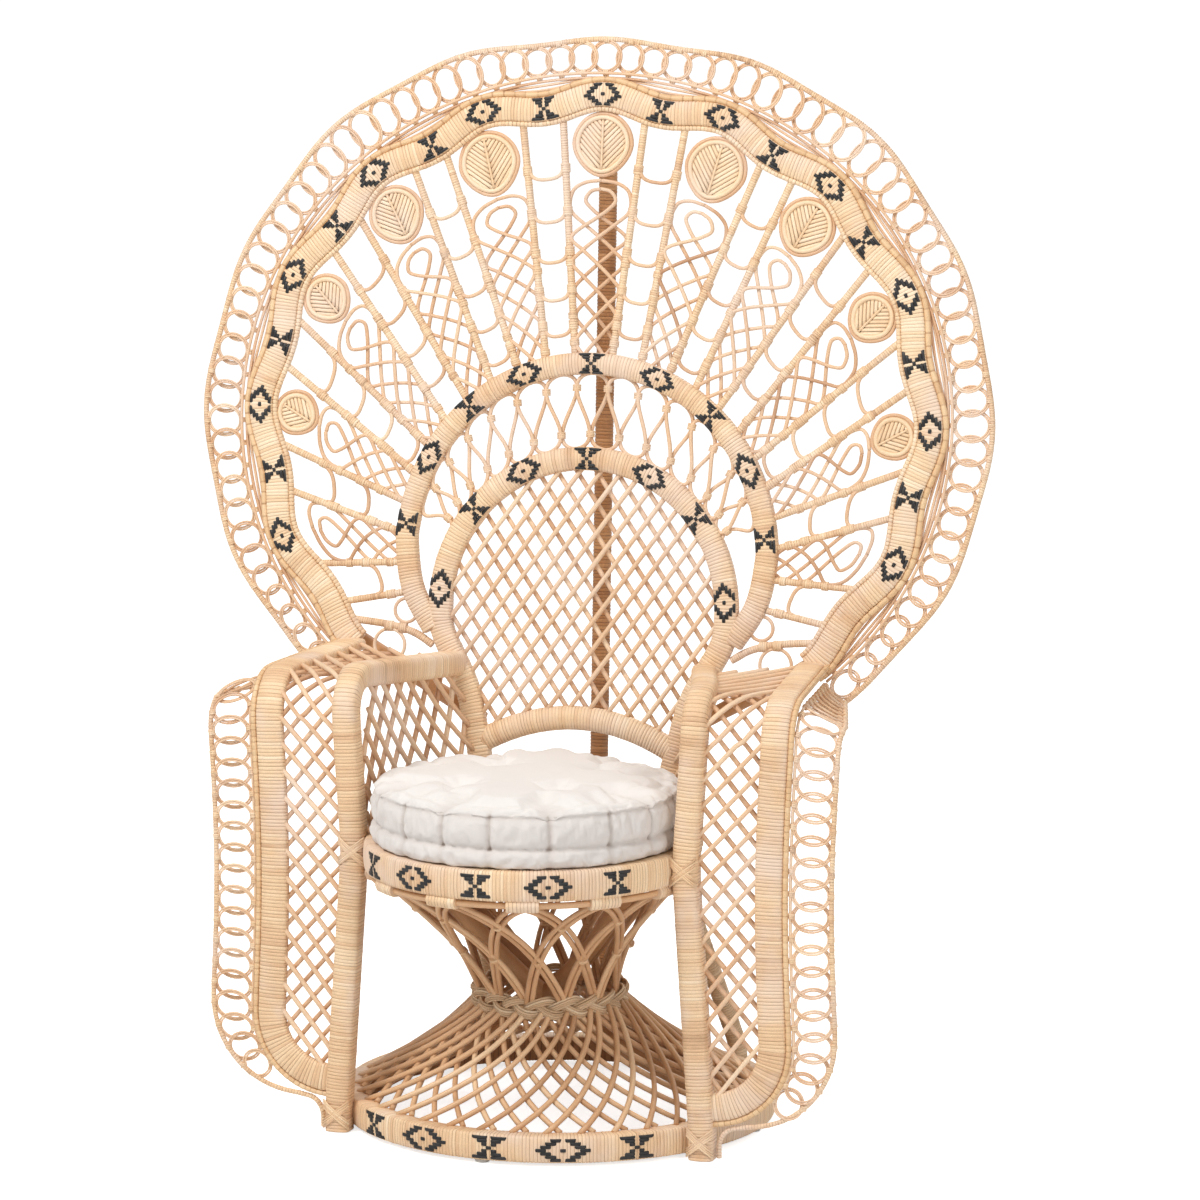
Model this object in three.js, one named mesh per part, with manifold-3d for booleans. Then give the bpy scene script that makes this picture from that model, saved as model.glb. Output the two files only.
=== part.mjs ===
// Rattan peacock chair: a fan back, two closed arms, a round seat on an hourglass base and a loose
// cushion. The front faces -Y and Z is up.
import * as THREE from 'three';
import { mergeVertices } from 'three/addons/utils/BufferGeometryUtils.js';
import Module from 'manifold-3d';

const wasm = await Module();
wasm.setup();

// Driving dimensions, in millimetres and degrees.
const gap = 0.3; // clearance between pieces that touch
const overlap = 4; // how far a piece runs into its neighbour before it is trimmed to the gap
const mergeWithin = 0.001; // points closer than this are one
const seamWithin = 0.01; // corners of neighbouring cells closer than this share a seam

// Fan back: u runs to the side, v runs up the leaning plane, both from its reference point.
const fanLean = 8.4;
const fanY = 101;
const fanZ = 650;
const frameDepth = 22; // front to back, of the wrapped band and arches
const edgeShare = 1 / 3; // rounding of a band's edges, as a share of its depth
const bandTailV = -8; // ends of the wavy band, by the arms
const bandRise = 451; // band radius straight above its centre, halfway up a wave
const bandSwell = 38; // extra band radius at the sides
const waveHeight = 8;
const waveStep = 22.5; // from one bump of the band to the next
const waveSteps = 4; // straight runs from one bump to the next
const bandEnd = 135;
const bandWidth = 46;
const borderEnd = 134.5;
const borderWidth = 55; // ring border, from its inner chord to its edge, at the top
const borderSwell = 8; // extra border width at the sides
const borderWave = 3;
const borderShoulder = 12; // fuller edge between the top and the sides
const shoulderEnd = 75;
const borderTuck = 28; // how far the edge is drawn in below the sides
const borderDepth = 8;
const borderRings = 34;

// Arches of the back.
const middleV = 140;
const middleRadius = 267;
const middleWidth = 31;
const middleLeg = [222, 20]; // where the middle arch runs into the inner one
const middleSteps = 18;
const innerV = 60;
const innerInset = 18; // centre of the inner arch's round part inside the seat ring's edge
const innerWidth = 33;
const innerLegInsets = [[5, 16], [44, -60], [63, -133]]; // its legs inside its round part, and v
const innerFootInset = 83; // where it stands on the seat ring
const innerSteps = 16;
const railDrop = 8; // ends of the bowed back rail below the bend of the inner arch
const railRise = 44;
const railWidth = 34;
const railSteps = 8;

// Ribs, swags, medallions and loops between the band and the middle arch.
const ribWidth = 12;
const ribDepth = 11;
const ribTurns = [8.2, 16.2, 32.5, 39.1, 53, 60.6, 74.6, 83, 97, 105.4, 119.6, 128]; // on the band
const ribFoot = 5.7; // first rib on the middle arch
const ribFootStep = 9;
const swagCounts = [4, 4, 3, 2, 2, 1]; // in each rib pair, from the top down
const medallionRadii = [46, 46, 42, 37, 36, 0]; // under each bump, from the top down
const medallionDepth = 14;
const loopDepth = 8;
const loopRows = [2, 2, 2, 1, 1, 1]; // crossings in each strip of loops, from the top down
const teardrops = 10;
const teardropEnd = 78; // last teardrop between the arches, from the top
const latticePitch = 66; // width of a diamond
const latticeRise = 92; // height of a diamond
const caneWidth = 9; // thickness of a lattice bar, across
const latticeDepth = 9;
const netOpen = 0.8; // share of a net's cell that is open

// Low side fills.
const sideRib = [[352, 28], [289, 22], [250, 12], [222, -4]];
const smallRing = { u: 264, v: 43.5, radius: 17 };
const largeRing = { u: 287, v: -7, radius: 23 };
const ringCane = 5;
const ringSides = 14;

// Poles and braces.
const poleSides = 8;
const braceSides = 6;
const poleRadius = 12;
const poleInset = 19; // top of the centre pole below the middle of the band
const poleBend = [188, 440]; // y and z where it turns out to the base ring
const poleCorner = [176, 215]; // y and z that it turns towards
const poleSink = 10; // how far it runs into the base ring before it is trimmed
const poleSteps = 6;
const legRadius = 14;
const legStart = 14; // straight stretch of a rear leg below the inner arch
const legFootTurn = 37; // where it stands outside the base ring, from straight behind
const legStand = 48; // upright stretch at its foot
const braceRadius = 12;
const braceInnerV = -108;
const braceInset = 1; // degrees before the end of the band
const crossRadius = 13;
const crossOffset = 22; // each crossing frame, before and behind the seat's middle
const crossInset = 21; // tops of a crossing frame inside the seat ring
const crossFootZ = 18;
const crossSteps = 4;

// Seat and base. The base ring stands on its centre, and the seat ring lies further forward.
const seatY = -139;
const seatRadius = 230;
const seatThick = 24;
const seatSegments = 32;
const seatZ = 404;
const seatHeight = 42;
const panelThick = 8;
const panelSink = 2; // seat panel below the top of its ring
const baseRadius = 306;
const baseThick = 28;
const baseSegments = 36;
const baseHeight = 38;
const footHeight = 5;
const footRadius = 11;
const footTaper = 2;
const footSides = 12;
const footTurns = { front: -4, right: 86, rear: 176, left: 266 };
const waistY = -47;
const waistZ = 186;
const waistRadius = 95;
const braidRadius = 10;
const braidSides = 6;
const braidSegments = 24;
const shellDepth = 7; // thickness of the cane work of the base
const upperDrawn = 22; // how far the cane work is drawn in between its rings
const lowerDrawn = 16;
const upperArches = 8;
const lowerSticks = 11;
const lowerRows = 2;

// Arms.
const armY = -189;
const armRise = -8; // centre of the armrest at the front, above the fan's reference point
const postSide = 36;
const postCut = 7; // of its corners
const postStand = 40; // upright stretch at its foot
const postTopX = 252;
const postBend = 48; // radius where the post turns back
const railEndV = -28; // where the armrest meets the inner arch
const armBandX = 363;
const armBandWidth = 36;
const armBandDepth = 16;
const armBandBend = 58;
const armBottom = 76; // centre of the band under the arm
const armCorner = 86;
const armBow = 7; // how far the arm's upright lines bow in
const edgeX = 453;
const edgeDrop = 35; // top of the edge cane below the armrest
const edgeBend = 40;
const edgeBottom = 49;
const edgeCorner = 128;
const tailClear = 1; // ends of the arm's bands before the fan's border
const armRings = 11;
const armAcross = 2;
const armAlong = 6;
const sideAcross = 2;
const sideAlong = 2;
const sideDrop = 8; // how far the side lattice hangs over the seat ring

// Cushion.
const cushionInset = 11; // its edge inside the seat ring's
const cushionForward = 8; // its middle before the seat ring's
const cushionHeight = 84;
const cushionCrown = 8;
const cushionWaist = 7; // how far its side wall is drawn in
const wallLevels = [0.16, 0.84]; // where its side wall starts and ends, as shares of its height
const wallSteps = 4;
const bottomShares = [0.5, 0.93]; // rings of its flat bottom, as shares of the radius
const topShares = [0.93, 0.8, 0.65, 0.48, 0.3, 0.12]; // rings of its top, from the edge in
const cushionPulls = 20; // stitches round its side wall
const pullDepth = 4;
const tuftRings = [[0, 1], [0.42, 6], [0.76, 11]]; // share of the radius, tufts on it
const tuftDepth = 9;
const tuftSize = 26;

const rad = THREE.MathUtils.degToRad;
const lerp = THREE.MathUtils.lerp;
const point = (x, y, z) => new THREE.Vector3(x, y, z);
const between = (a, b, t) => a.clone().lerp(b, t);

// Closed geometry from corners and triangles, turned so that its faces point out.
function closedGeometry(corners, faces) {
  let volume = 0;
  const normal = new THREE.Vector3();
  for (const [a, b, c] of faces) {
    volume += corners[a].dot(normal.crossVectors(corners[b], corners[c]));
  }
  const turned = volume < 0 ? faces.map(([a, b, c]) => [a, c, b]) : faces;
  const geometry = new THREE.BufferGeometry().setFromPoints(corners);
  geometry.setIndex(turned.flat());
  return mergeVertices(geometry, mergeWithin);
}

// Skin over a row of rings with equal point counts, capped at both ends or joined in a loop.
function loft(rings, closed = false) {
  const sides = rings[0].length;
  const corners = rings.flat();
  const faces = [];
  const spans = closed ? rings.length : rings.length - 1;
  for (let i = 0; i < spans; i++) {
    const near = i * sides;
    const far = ((i + 1) % rings.length) * sides;
    for (let k = 0; k < sides; k++) {
      const next = (k + 1) % sides;
      faces.push([near + k, near + next, far + next], [near + k, far + next, far + k]);
    }
  }
  if (!closed) {
    const last = corners.length - sides;
    for (let k = 1; k < sides - 1; k++) {
      faces.push([0, k + 1, k], [last, last + k, last + k + 1]);
    }
  }
  return closedGeometry(corners, faces);
}

// Sweeps a section of [across, facing] points along a path. The facing is the direction that the
// section's second coordinate follows, as near as the path allows.
function sweep(path, section, facing) {
  const rings = path.map((centre, i) => {
    const before = path[Math.max(i - 1, 0)];
    const after = path[Math.min(i + 1, path.length - 1)];
    const along = after.clone().sub(before).normalize();
    const across = new THREE.Vector3().crossVectors(along, facing(along)).normalize();
    const out = new THREE.Vector3().crossVectors(across, along);
    return section.map(([a, b]) => centre.clone().addScaledVector(across, a).addScaledVector(out, b));
  });
  return loft(rings);
}

// Flat section with both edges rounded off, as of a wrapped band with piping.
function bandSection(width, depth) {
  const edge = width / 2;
  const flat = edge - depth * edgeShare;
  const half = depth / 2;
  return [[-edge, 0], [-flat, -half], [flat, -half], [edge, 0], [flat, half], [-flat, half]];
}

// Regular section, as of a pole.
function roundSection(radius, sides) {
  return Array.from({ length: sides }, (_, k) => {
    const turn = (k + 0.5) * 2 * Math.PI / sides;
    return [radius * Math.cos(turn), radius * Math.sin(turn)];
  });
}

// Square section with cut corners, as of a wrapped post.
function postSection(side) {
  const half = side / 2;
  const flat = half - postCut;
  return [[-half, -flat], [-flat, -half], [flat, -half], [half, -flat],
    [half, flat], [flat, half], [-flat, half], [-half, flat]];
}

// Ring of revolution about Z from a closed profile of [radius, height] points.
function turnedRing(profile, segments) {
  const rings = Array.from({ length: segments }, (_, i) => {
    const turn = i * 2 * Math.PI / segments;
    const ray = point(Math.sin(turn), -Math.cos(turn), 0);
    return profile.map(([radius, height]) => ray.clone().multiplyScalar(radius).setZ(height));
  });
  return loft(rings, true);
}

// Plate with one hole in each cell. Cells share their outer corners, and place(u, v, w) sets a point
// of the sheet in space, w being its depth.
function pierced(cells, place, depth) {
  const corners = [];
  const faces = [];
  const borders = new Map();
  const addAt = (w) => ([u, v]) => corners.push(place(u, v, w)) - 1;
  const onSeam = (value) => Math.round(value / seamWithin) || 0;
  const keyOf = ([u, v]) => place(u, v, 0).toArray().map(onSeam).join(' ');
  for (const { rim, hole } of cells) {
    const keys = rim.map(keyOf);
    const front = { rim: rim.map(addAt(depth / 2)), hole: hole.map(addAt(depth / 2)) };
    const back = { rim: rim.map(addAt(-depth / 2)), hole: hole.map(addAt(-depth / 2)) };
    for (let k = 0; k < rim.length; k++) {
      const next = (k + 1) % rim.length;
      faces.push([front.rim[k], front.rim[next], front.hole[next]]);
      faces.push([front.rim[k], front.hole[next], front.hole[k]]);
      faces.push([back.rim[k], back.hole[next], back.rim[next]]);
      faces.push([back.rim[k], back.hole[k], back.hole[next]]);
      faces.push([front.hole[k], front.hole[next], back.hole[next]]);
      faces.push([front.hole[k], back.hole[next], back.hole[k]]);
      const edge = [keys[k], keys[next]].sort().join(' | ');
      const wall = [
        [front.rim[k], back.rim[k], back.rim[next]],
        [front.rim[k], back.rim[next], front.rim[next]],
      ];
      borders.set(edge, borders.has(edge) ? [] : wall);
    }
  }
  faces.push(...[...borders.values()].flat());
  return closedGeometry(corners, faces);
}

// Diamond cells of a cane net, with half cells along its borders. A round net closes on itself.
function netCells(across, along, open, round = false) {
  const columns = 2 * across;
  const rows = 2 * along;
  const inside = ([a, b]) => b >= 0 && b <= rows && (round || (a >= 0 && a <= columns));
  const cells = [];
  for (let i = 0; i <= columns - (round ? 1 : 0); i++) {
    for (let j = (i + 1) % 2; j <= rows; j += 2) {
      const corners = [[i + 1, j], [i, j + 1], [i - 1, j], [i, j - 1]].filter(inside);
      const rim = corners.map(([a, b]) => [a / columns, b / rows]);
      cells.push({ rim, hole: shrunk(rim, open) });
    }
  }
  return cells;
}

// The same net with its long way along u.
function longNet(across, along) {
  const turned = (outline) => outline.map(([a, b]) => [b, a]);
  const cells = netCells(across, along, netOpen);
  return cells.map(({ rim, hole }) => ({ rim: turned(rim), hole: turned(hole) }));
}

// A cell's outline drawn in towards its middle.
function shrunk(rim, share) {
  const middle = [0, 1].map((axis) => rim.reduce((sum, corner) => sum + corner[axis], 0) / rim.length);
  return rim.map((corner) => corner.map((value, axis) => lerp(middle[axis], value, share)));
}

// One row of equal cells along a strip, from one cell's rim and hole in its own unit square.
function stripCells(count, { rim, hole }) {
  const shift = (i) => ([a, b]) => [(i + a) / count, b];
  return Array.from({ length: count }, (_, i) => ({ rim: rim.map(shift(i)), hole: hole.map(shift(i)) }));
}

// A ring between two canes, and a space between two ribs over a hanging swag.
const ringCell = {
  rim: [[0, 0], [0.5, 0], [1, 0], [1, 1], [0.5, 1], [0, 1]],
  hole: [[0.11, 0.3], [0.5, 0.12], [0.89, 0.3], [0.89, 0.7], [0.5, 0.88], [0.11, 0.7]],
};
const swagCell = {
  rim: [[0, 0], [1, 0], [1, 0.5], [1, 1], [0, 1], [0, 0.5]],
  hole: [[0.05, 0.2], [0.72, 0.2], [0.94, 0.5], [0.72, 0.8], [0.05, 0.8], [0.12, 0.5]],
};

// Place on a path of points, by a share of its steps.
function onPath(path, share) {
  const step = THREE.MathUtils.clamp(share, 0, 1) * (path.length - 1);
  const first = Math.min(Math.floor(step), path.length - 2);
  return between(path[first], path[first + 1], step - first);
}

// Sheet stretched between two paths: u runs along them, v runs from the first to the second.
function stretched(first, second) {
  const at = (u, v) => between(onPath(first, u), onPath(second, u), v);
  const reach = 1e-3;
  return (u, v, w) => {
    const along = at(Math.min(u + reach, 1), v).sub(at(Math.max(u - reach, 0), v));
    const across = at(u, 1).sub(at(u, 0));
    return at(u, v).addScaledVector(along.cross(across).normalize(), w);
  };
}

function solid(geometry) {
  const triVerts = new Uint32Array(geometry.index.array);
  const vertProperties = new Float32Array(geometry.attributes.position.array);
  return new wasm.Manifold(new wasm.Mesh({ numProp: 3, vertProperties, triVerts }));
}

// Geometry of a solid's largest body, the rest being offcuts beyond a neighbour.
function kept(manifold) {
  const bodies = manifold.decompose();
  const largest = bodies.reduce((best, each) => (each.volume() > best.volume() ? each : best));
  const { numProp, vertProperties, triVerts } = largest.getMesh();
  const geometry = new THREE.BufferGeometry();
  const positions = new THREE.InterleavedBuffer(new Float32Array(vertProperties), numProp);
  geometry.setAttribute('position', new THREE.InterleavedBufferAttribute(positions, 3, 0));
  geometry.setIndex([...triVerts]);
  return geometry;
}

const trimmed = (geometry, ...cutters) =>
  kept(cutters.reduce((rest, cutter) => rest.subtract(solid(cutter)), solid(geometry)));
const joined = (first, ...others) =>
  others.reduce((whole, other) => whole.add(solid(other)), solid(first));

// Finishes.
const finishes = {
  wrapped: { color: 0xe2be91, roughness: 0.55 },
  cane: { color: 0xe0b98c, roughness: 0.45 },
  pole: { color: 0xb98c5f, roughness: 0.6 },
  linen: { color: 0xeeeae6, roughness: 0.95 },
  glide: { color: 0xc9c6c0, roughness: 0.4 },
};

const chair = new THREE.Group();
const fan = new THREE.Group();
fan.position.set(0, fanY, fanZ);
fan.rotation.x = Math.PI / 2 - rad(fanLean);
fan.updateMatrix();
chair.add(fan);

function addPiece(parent, name, geometry, finish) {
  const flat = geometry.index ? geometry.toNonIndexed() : geometry;
  flat.computeVertexNormals();
  const mesh = new THREE.Mesh(flat, new THREE.MeshStandardMaterial({ metalness: 0, ...finishes[finish] }));
  mesh.name = name;
  parent.add(mesh);
}

const inChair = (geometry) => geometry.clone().applyMatrix4(fan.matrix);
const fanToChair = (u, v, w = 0) => point(u, v, w).applyMatrix4(fan.matrix);

// Fan back: lines of the wavy band and its border.
const swell = (turn) => Math.sin(rad(turn)) ** 2;
const wave = (turn) => Math.cos(rad(turn * 360 / waveStep));
const bandRadius = (turn) => bandRise + bandSwell * swell(turn) + waveHeight * wave(turn);
const chordRadius = (turn) => bandRise + bandSwell * swell(turn) + waveHeight + bandWidth / 2;
const shoulder = (turn) => Math.abs(turn) < shoulderEnd ? Math.sin(rad(180 * turn / shoulderEnd)) ** 2 : 0;
const tuck = (turn) => Math.min(0, Math.cos(rad(turn))) ** 2;
const edgeRadius = (turn) => chordRadius(turn) + borderWidth + borderSwell * swell(turn)
  + borderWave * wave(turn) + borderShoulder * shoulder(turn) - borderTuck * tuck(turn);
const hubV = bandTailV - bandRadius(bandEnd) * Math.cos(rad(bandEnd));
const around = (turn, radius, centreV) =>
  point(radius * Math.sin(rad(turn)), centreV + radius * Math.cos(rad(turn)), 0);
const spread = (from, to, steps) =>
  Array.from({ length: steps + 1 }, (_, i) => lerp(from, to, i / steps));
const towardsFront = () => point(0, 0, 1);
const mirrored = (half) => [...half.map(([u, v]) => point(-u, v, 0)).reverse()];

const bandPath = spread(-bandEnd, bandEnd, Math.round(2 * bandEnd * waveSteps / waveStep))
  .map((turn) => around(turn, bandRadius(turn), hubV));
const fanMember = (path, width, grow) =>
  sweep(path, bandSection(width + 2 * grow, frameDepth + 2 * grow), towardsFront);

// Arch with a round top and legs through given points on both sides.
function archPath(centreV, radius, legs, steps) {
  const round = spread(-90, 90, steps).map((turn) => around(turn, radius, centreV));
  const right = legs.map(([u, v]) => point(u, v, 0));
  return [...mirrored(legs), ...round, ...right];
}

const seatTop = seatZ + seatHeight / 2;
const innerRadius = seatRadius - innerInset;
const innerLeg = innerLegInsets.map(([inset, v]) => [innerRadius - inset, v]);
const legFootV = (seatTop + gap - fanZ) / Math.cos(rad(fanLean));
const innerFoot = [innerRadius - innerFootInset, legFootV - overlap];
const innerPath = archPath(innerV, innerRadius, [...innerLeg, innerFoot], innerSteps);
const middlePath = archPath(middleV, middleRadius, [middleLeg], middleSteps);
const railPath = spread(-1, 1, railSteps).map((share) =>
  point(share * innerLeg.at(-1)[0], innerLeg.at(-1)[1] - railDrop + railRise * (1 - share ** 2), 0));

// Seat and base rings, as they are and with the clearance that their neighbours keep.
function boxRing(outer, thick, bottom, height, grow, segments) {
  return turnedRing([
    [outer + grow, bottom - grow], [outer + grow, bottom + height + grow],
    [outer - thick - grow, bottom + height + grow], [outer - thick - grow, bottom - grow],
  ], segments);
}
const seatBottom = seatZ - seatHeight / 2;
const seatRing = (grow) =>
  boxRing(seatRadius, seatThick, seatBottom, seatHeight, grow, seatSegments).translate(0, seatY, 0);
const baseRing = (grow) => boxRing(baseRadius, baseThick, footHeight, baseHeight, grow, baseSegments);

const bandClear = fanMember(bandPath, bandWidth, gap);
const innerClear = fanMember(innerPath, innerWidth, gap);
const middleClear = fanMember(middlePath, middleWidth, gap);
const railClear = fanMember(railPath, railWidth, gap);
const seatClear = seatRing(gap);
const baseClear = baseRing(gap);
const innerArchFull = inChair(fanMember(innerPath, innerWidth, 0));
const innerArch = trimmed(innerArchFull, seatClear).applyMatrix4(fan.matrix.clone().invert());

addPiece(fan, 'wavy_band', fanMember(bandPath, bandWidth, 0), 'wrapped');
addPiece(fan, 'inner_arch', innerArch, 'wrapped');
addPiece(fan, 'middle_arch', trimmed(fanMember(middlePath, middleWidth, 0), innerClear), 'wrapped');
addPiece(fan, 'back_rail', trimmed(fanMember(railPath, railWidth, 0), innerClear), 'wrapped');

// Ring border of the fan, between its inner chord and its edge cane.
const borderTurns = spread(-borderEnd, borderEnd, 2 * borderRings);
const chordPath = borderTurns.map((turn) => around(turn, chordRadius(turn) - overlap, hubV));
const edgePath = borderTurns.map((turn) => around(turn, edgeRadius(turn), hubV));
const border = pierced(stripCells(borderRings, ringCell), stretched(chordPath, edgePath), borderDepth);
addPiece(fan, 'fan_border', trimmed(border, bandClear), 'cane');

// Rib lines: from the band to the middle arch, run a little into both.
function ribLine(number, side) {
  const turn = ribTurns[number];
  const outer = around(turn, bandRadius(turn) - bandWidth / 2 + overlap, hubV);
  const foot = ribFoot + ribFootStep * number;
  const inner = around(foot, middleRadius + middleWidth / 2 - overlap, middleV);
  return [outer, inner].map(({ x, y }) => point(side * x, y, 0));
}

// The same line, moved sideways.
function besideLine([outer, inner], distance) {
  const along = inner.clone().sub(outer).normalize();
  const aside = point(along.y, -along.x, 0).multiplyScalar(distance);
  return [outer.clone().add(aside), inner.clone().add(aside)];
}

const sides = { left: -1, right: 1 };
const fanTrim = (geometry) => trimmed(geometry, bandClear, middleClear);

// Each rib pair is one frame with its swags, and each space between pairs holds a leaf medallion
// over a strip of crossing loops.
for (const [sideName, side] of Object.entries(sides)) {
  swagCounts.forEach((swags, pair) => {
    const first = besideLine(ribLine(2 * pair, side), side * ribWidth / 2);
    const second = besideLine(ribLine(2 * pair + 1, side), -side * ribWidth / 2);
    const panel = pierced(stripCells(swags + 1, swagCell), stretched(first, second), ribDepth);
    addPiece(fan, `swag_ribs_${sideName}_${pair + 1}`, fanTrim(panel), 'wrapped');
  });
}

// Circle under a bump of the band, no larger than fits between the ribs on both sides.
function medallionAt(turn, ribs, largest) {
  const top = bandRadius(turn) - bandWidth / 2 - gap;
  const centre = around(turn, top - largest, hubV);
  const room = ribs.map(([outer, inner]) => {
    const nearest = new THREE.Line3(outer, inner).closestPointToPoint(centre, false, point());
    return nearest.distanceTo(centre) - ribWidth / 2 - gap;
  });
  const radius = Math.min(largest, ...room);
  return { centre: around(turn, top - radius, hubV), radius };
}

function leafDisc({ centre, radius }) {
  const disc = new THREE.CylinderGeometry(radius, radius, medallionDepth, ringSides);
  disc.deleteAttribute('normal');
  disc.deleteAttribute('uv');
  return mergeVertices(disc.rotateX(Math.PI / 2).translate(centre.x, centre.y, 0), mergeWithin);
}

function loopPanel(turn, [first, second], { radius, rows, side }) {
  const inset = ribWidth / 2 + gap;
  const from = besideLine(first, -side * inset);
  const to = besideLine(second, side * inset);
  const disc = radius ? medallionAt(turn, [first, second], radius) : null;
  const reach = (line) => line[0].distanceTo(line[1]);
  const start = disc ? (2 * disc.radius - overlap) / reach(from) : 0;
  const below = [from, to].map((line) => [between(...line, start), line[1]]);
  const strip = pierced(longNet(1, rows), stretched(...below), loopDepth);
  return disc ? kept(joined(strip, leafDisc(disc))) : strip;
}

medallionRadii.forEach((radius, bump) => {
  const turn = bump === 0 ? 0 : (ribTurns[2 * bump - 1] + ribTurns[2 * bump]) / 2;
  for (const [sideName, side] of Object.entries(sides)) {
    if (bump === 0 && side < 0) {
      continue;
    }
    const before = bump === 0 ? ribLine(0, -1) : ribLine(2 * bump - 1, side);
    const ribs = [before, ribLine(2 * bump, side)];
    const panel = loopPanel(side * turn, ribs, { radius, rows: loopRows[bump], side });
    const name = bump === 0 ? 'leaf_loops_middle' : `leaf_loops_${sideName}_${bump}`;
    addPiece(fan, name, fanTrim(panel), 'cane');
  }
});

// Teardrop chain between the two arches, and the lattice inside the inner one.
const dropTurns = spread(-teardropEnd, teardropEnd, 2 * teardrops);
const dropInner = dropTurns.map((turn) => around(turn, innerRadius + innerWidth / 2 - overlap, innerV));
const dropOuter = dropTurns.map((turn) => around(turn, middleRadius - middleWidth / 2 + overlap, middleV));
const drops = pierced(stripCells(teardrops, ringCell), stretched(dropInner, dropOuter), loopDepth);
addPiece(fan, 'teardrop_chain', trimmed(drops, innerClear, middleClear), 'cane');

const latticeTop = innerV + innerRadius;
const latticeBottom = innerLeg.at(-1)[1];
const latticeColumns = Math.ceil(2 * innerRadius / latticePitch);
const latticeRows = Math.ceil((latticeTop - latticeBottom) / latticeRise);
const latticeWide = latticeColumns * latticePitch;
const latticePlace = (u, v, w) =>
  point((u - 0.5) * latticeWide, latticeTop - v * latticeRows * latticeRise, w);
const latticeOpen = 1 - caneWidth / (latticePitch * latticeRise / Math.hypot(latticePitch, latticeRise));
const lattice = pierced(netCells(latticeColumns, latticeRows, latticeOpen), latticePlace, latticeDepth);
addPiece(fan, 'back_lattice', trimmed(lattice, innerClear, railClear), 'cane');

// Low side fills: a bowed rib with a small circle over it and a large one under it.
function caneRing({ u, v, radius }, side) {
  const half = ringCane / 2;
  const [inside, outside] = [radius - half, radius + half];
  const profile = [[inside, -half], [outside, -half], [outside, half], [inside, half]];
  return turnedRing(profile, ringSides).translate(side * u, v, 0);
}
for (const [sideName, side] of Object.entries(sides)) {
  const path = sideRib.map(([u, v]) => point(side * u, v, 0));
  const rib = sweep(path, bandSection(ribWidth, ribDepth), towardsFront);
  const fill = kept(joined(rib, caneRing(smallRing, side), caneRing(largeRing, side)));
  addPiece(fan, `side_fill_${sideName}`, trimmed(fill, bandClear, middleClear, innerClear), 'cane');
}

// Centre pole, lashed behind the top of the fan, straight down and out to the base ring, and rear braces.
const behind = (radius) => -(frameDepth / 2 + gap + radius);
const sideways = () => point(1, 0, 0);
const poleTop = fanToChair(0, hubV + bandRadius(0) - poleInset, behind(poleRadius));
const poleFoot = point(0, baseRadius - baseThick / 2, footHeight + baseHeight - poleSink);
const poleTurn = new THREE.QuadraticBezierCurve3(point(0, ...poleBend), point(0, ...poleCorner), poleFoot);
const polePath = [poleTop, ...poleTurn.getPoints(poleSteps)];
const pole = (grow) => sweep(polePath, roundSection(poleRadius + grow, poleSides), sideways);
addPiece(chair, 'centre_pole', trimmed(pole(0), baseClear), 'pole');
for (const [sideName, side] of Object.entries(sides)) {
  const inner = point(side * innerLeg.at(-1)[0], braceInnerV, behind(braceRadius));
  const outer = around(side * (bandEnd - braceInset), bandRadius(bandEnd), hubV).setZ(behind(braceRadius));
  const brace = sweep([inner, outer], roundSection(braceRadius, braceSides), towardsFront);
  addPiece(fan, `rear_brace_${sideName}`, brace, 'pole');
}

// Arms: lines of the post with its armrest, the outer band and the edge cane. All have their bottom
// stretch, their upright, their bend and their run to the back in the same order.
const armTop = fanZ + armRise;
const postReach = Math.hypot(postSide / 2, postSide / 2 - postCut); // from its middle to a corner
const tangentX = (radius, offset) => Math.sqrt((radius + postReach + gap) ** 2 - offset ** 2);
const postFootX = tangentX(baseRadius, armY);
const postSeatX = tangentX(seatRadius, armY - seatY);
const cornerSteps = 5;
const uprightSteps = 5;
const bendSteps = 4;
const sideSteps = 6;
const bowIn = (share) => armBow * Math.sin(Math.PI * share);

function bend(x, top, radius) {
  return spread(0, 90, bendSteps).map((turn) => point(
    x, armY + radius * (1 - Math.cos(rad(turn))), top - radius + radius * Math.sin(rad(turn))));
}

function armLine(x, bottom, corner, top, radius, end) {
  const arc = spread(90, 0, cornerSteps).map((turn) => point(
    x - corner + corner * Math.cos(rad(turn)), armY, bottom + corner - corner * Math.sin(rad(turn))));
  const upright = spread(0, 1, uprightSteps).slice(1, -1).map((share) =>
    point(x - bowIn(share), armY, lerp(bottom + corner, top - radius, share)));
  return [...arc, ...upright, ...bend(x, top, radius), end];
}

const innerEndU = lerp(innerLeg[0][0], innerLeg[1][0],
  (innerLeg[0][1] - railEndV) / (innerLeg[0][1] - innerLeg[1][1]));
const bandTail = around(bandEnd, bandRadius(bandEnd), hubV);
const borderTail = around(borderEnd, edgeRadius(borderEnd), hubV);
const tailGap = borderDepth / 2 + tailClear;
const postLine = [
  point(postFootX, armY, 0), point(postFootX, armY, postStand), point(postSeatX, armY, seatZ),
  ...bend(postTopX, armTop, postBend), fanToChair(innerEndU, railEndV, frameDepth / 2 - overlap),
];
const edgeTop = armTop - edgeDrop;
const bandLine = armLine(armBandX, armBottom, armCorner, armTop, armBandBend,
  fanToChair(bandTail.x, bandTail.y));
const edgeLine = armLine(edgeX, edgeBottom, edgeCorner, edgeTop, edgeBend,
  fanToChair(borderTail.x, borderTail.y, tailGap));
const outOfArm = (along) => new THREE.Vector3().crossVectors(along, point(1, 0, 0));
const mirror = (path, side) => path.map(({ x, y, z }) => point(side * x, y, z));

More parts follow.
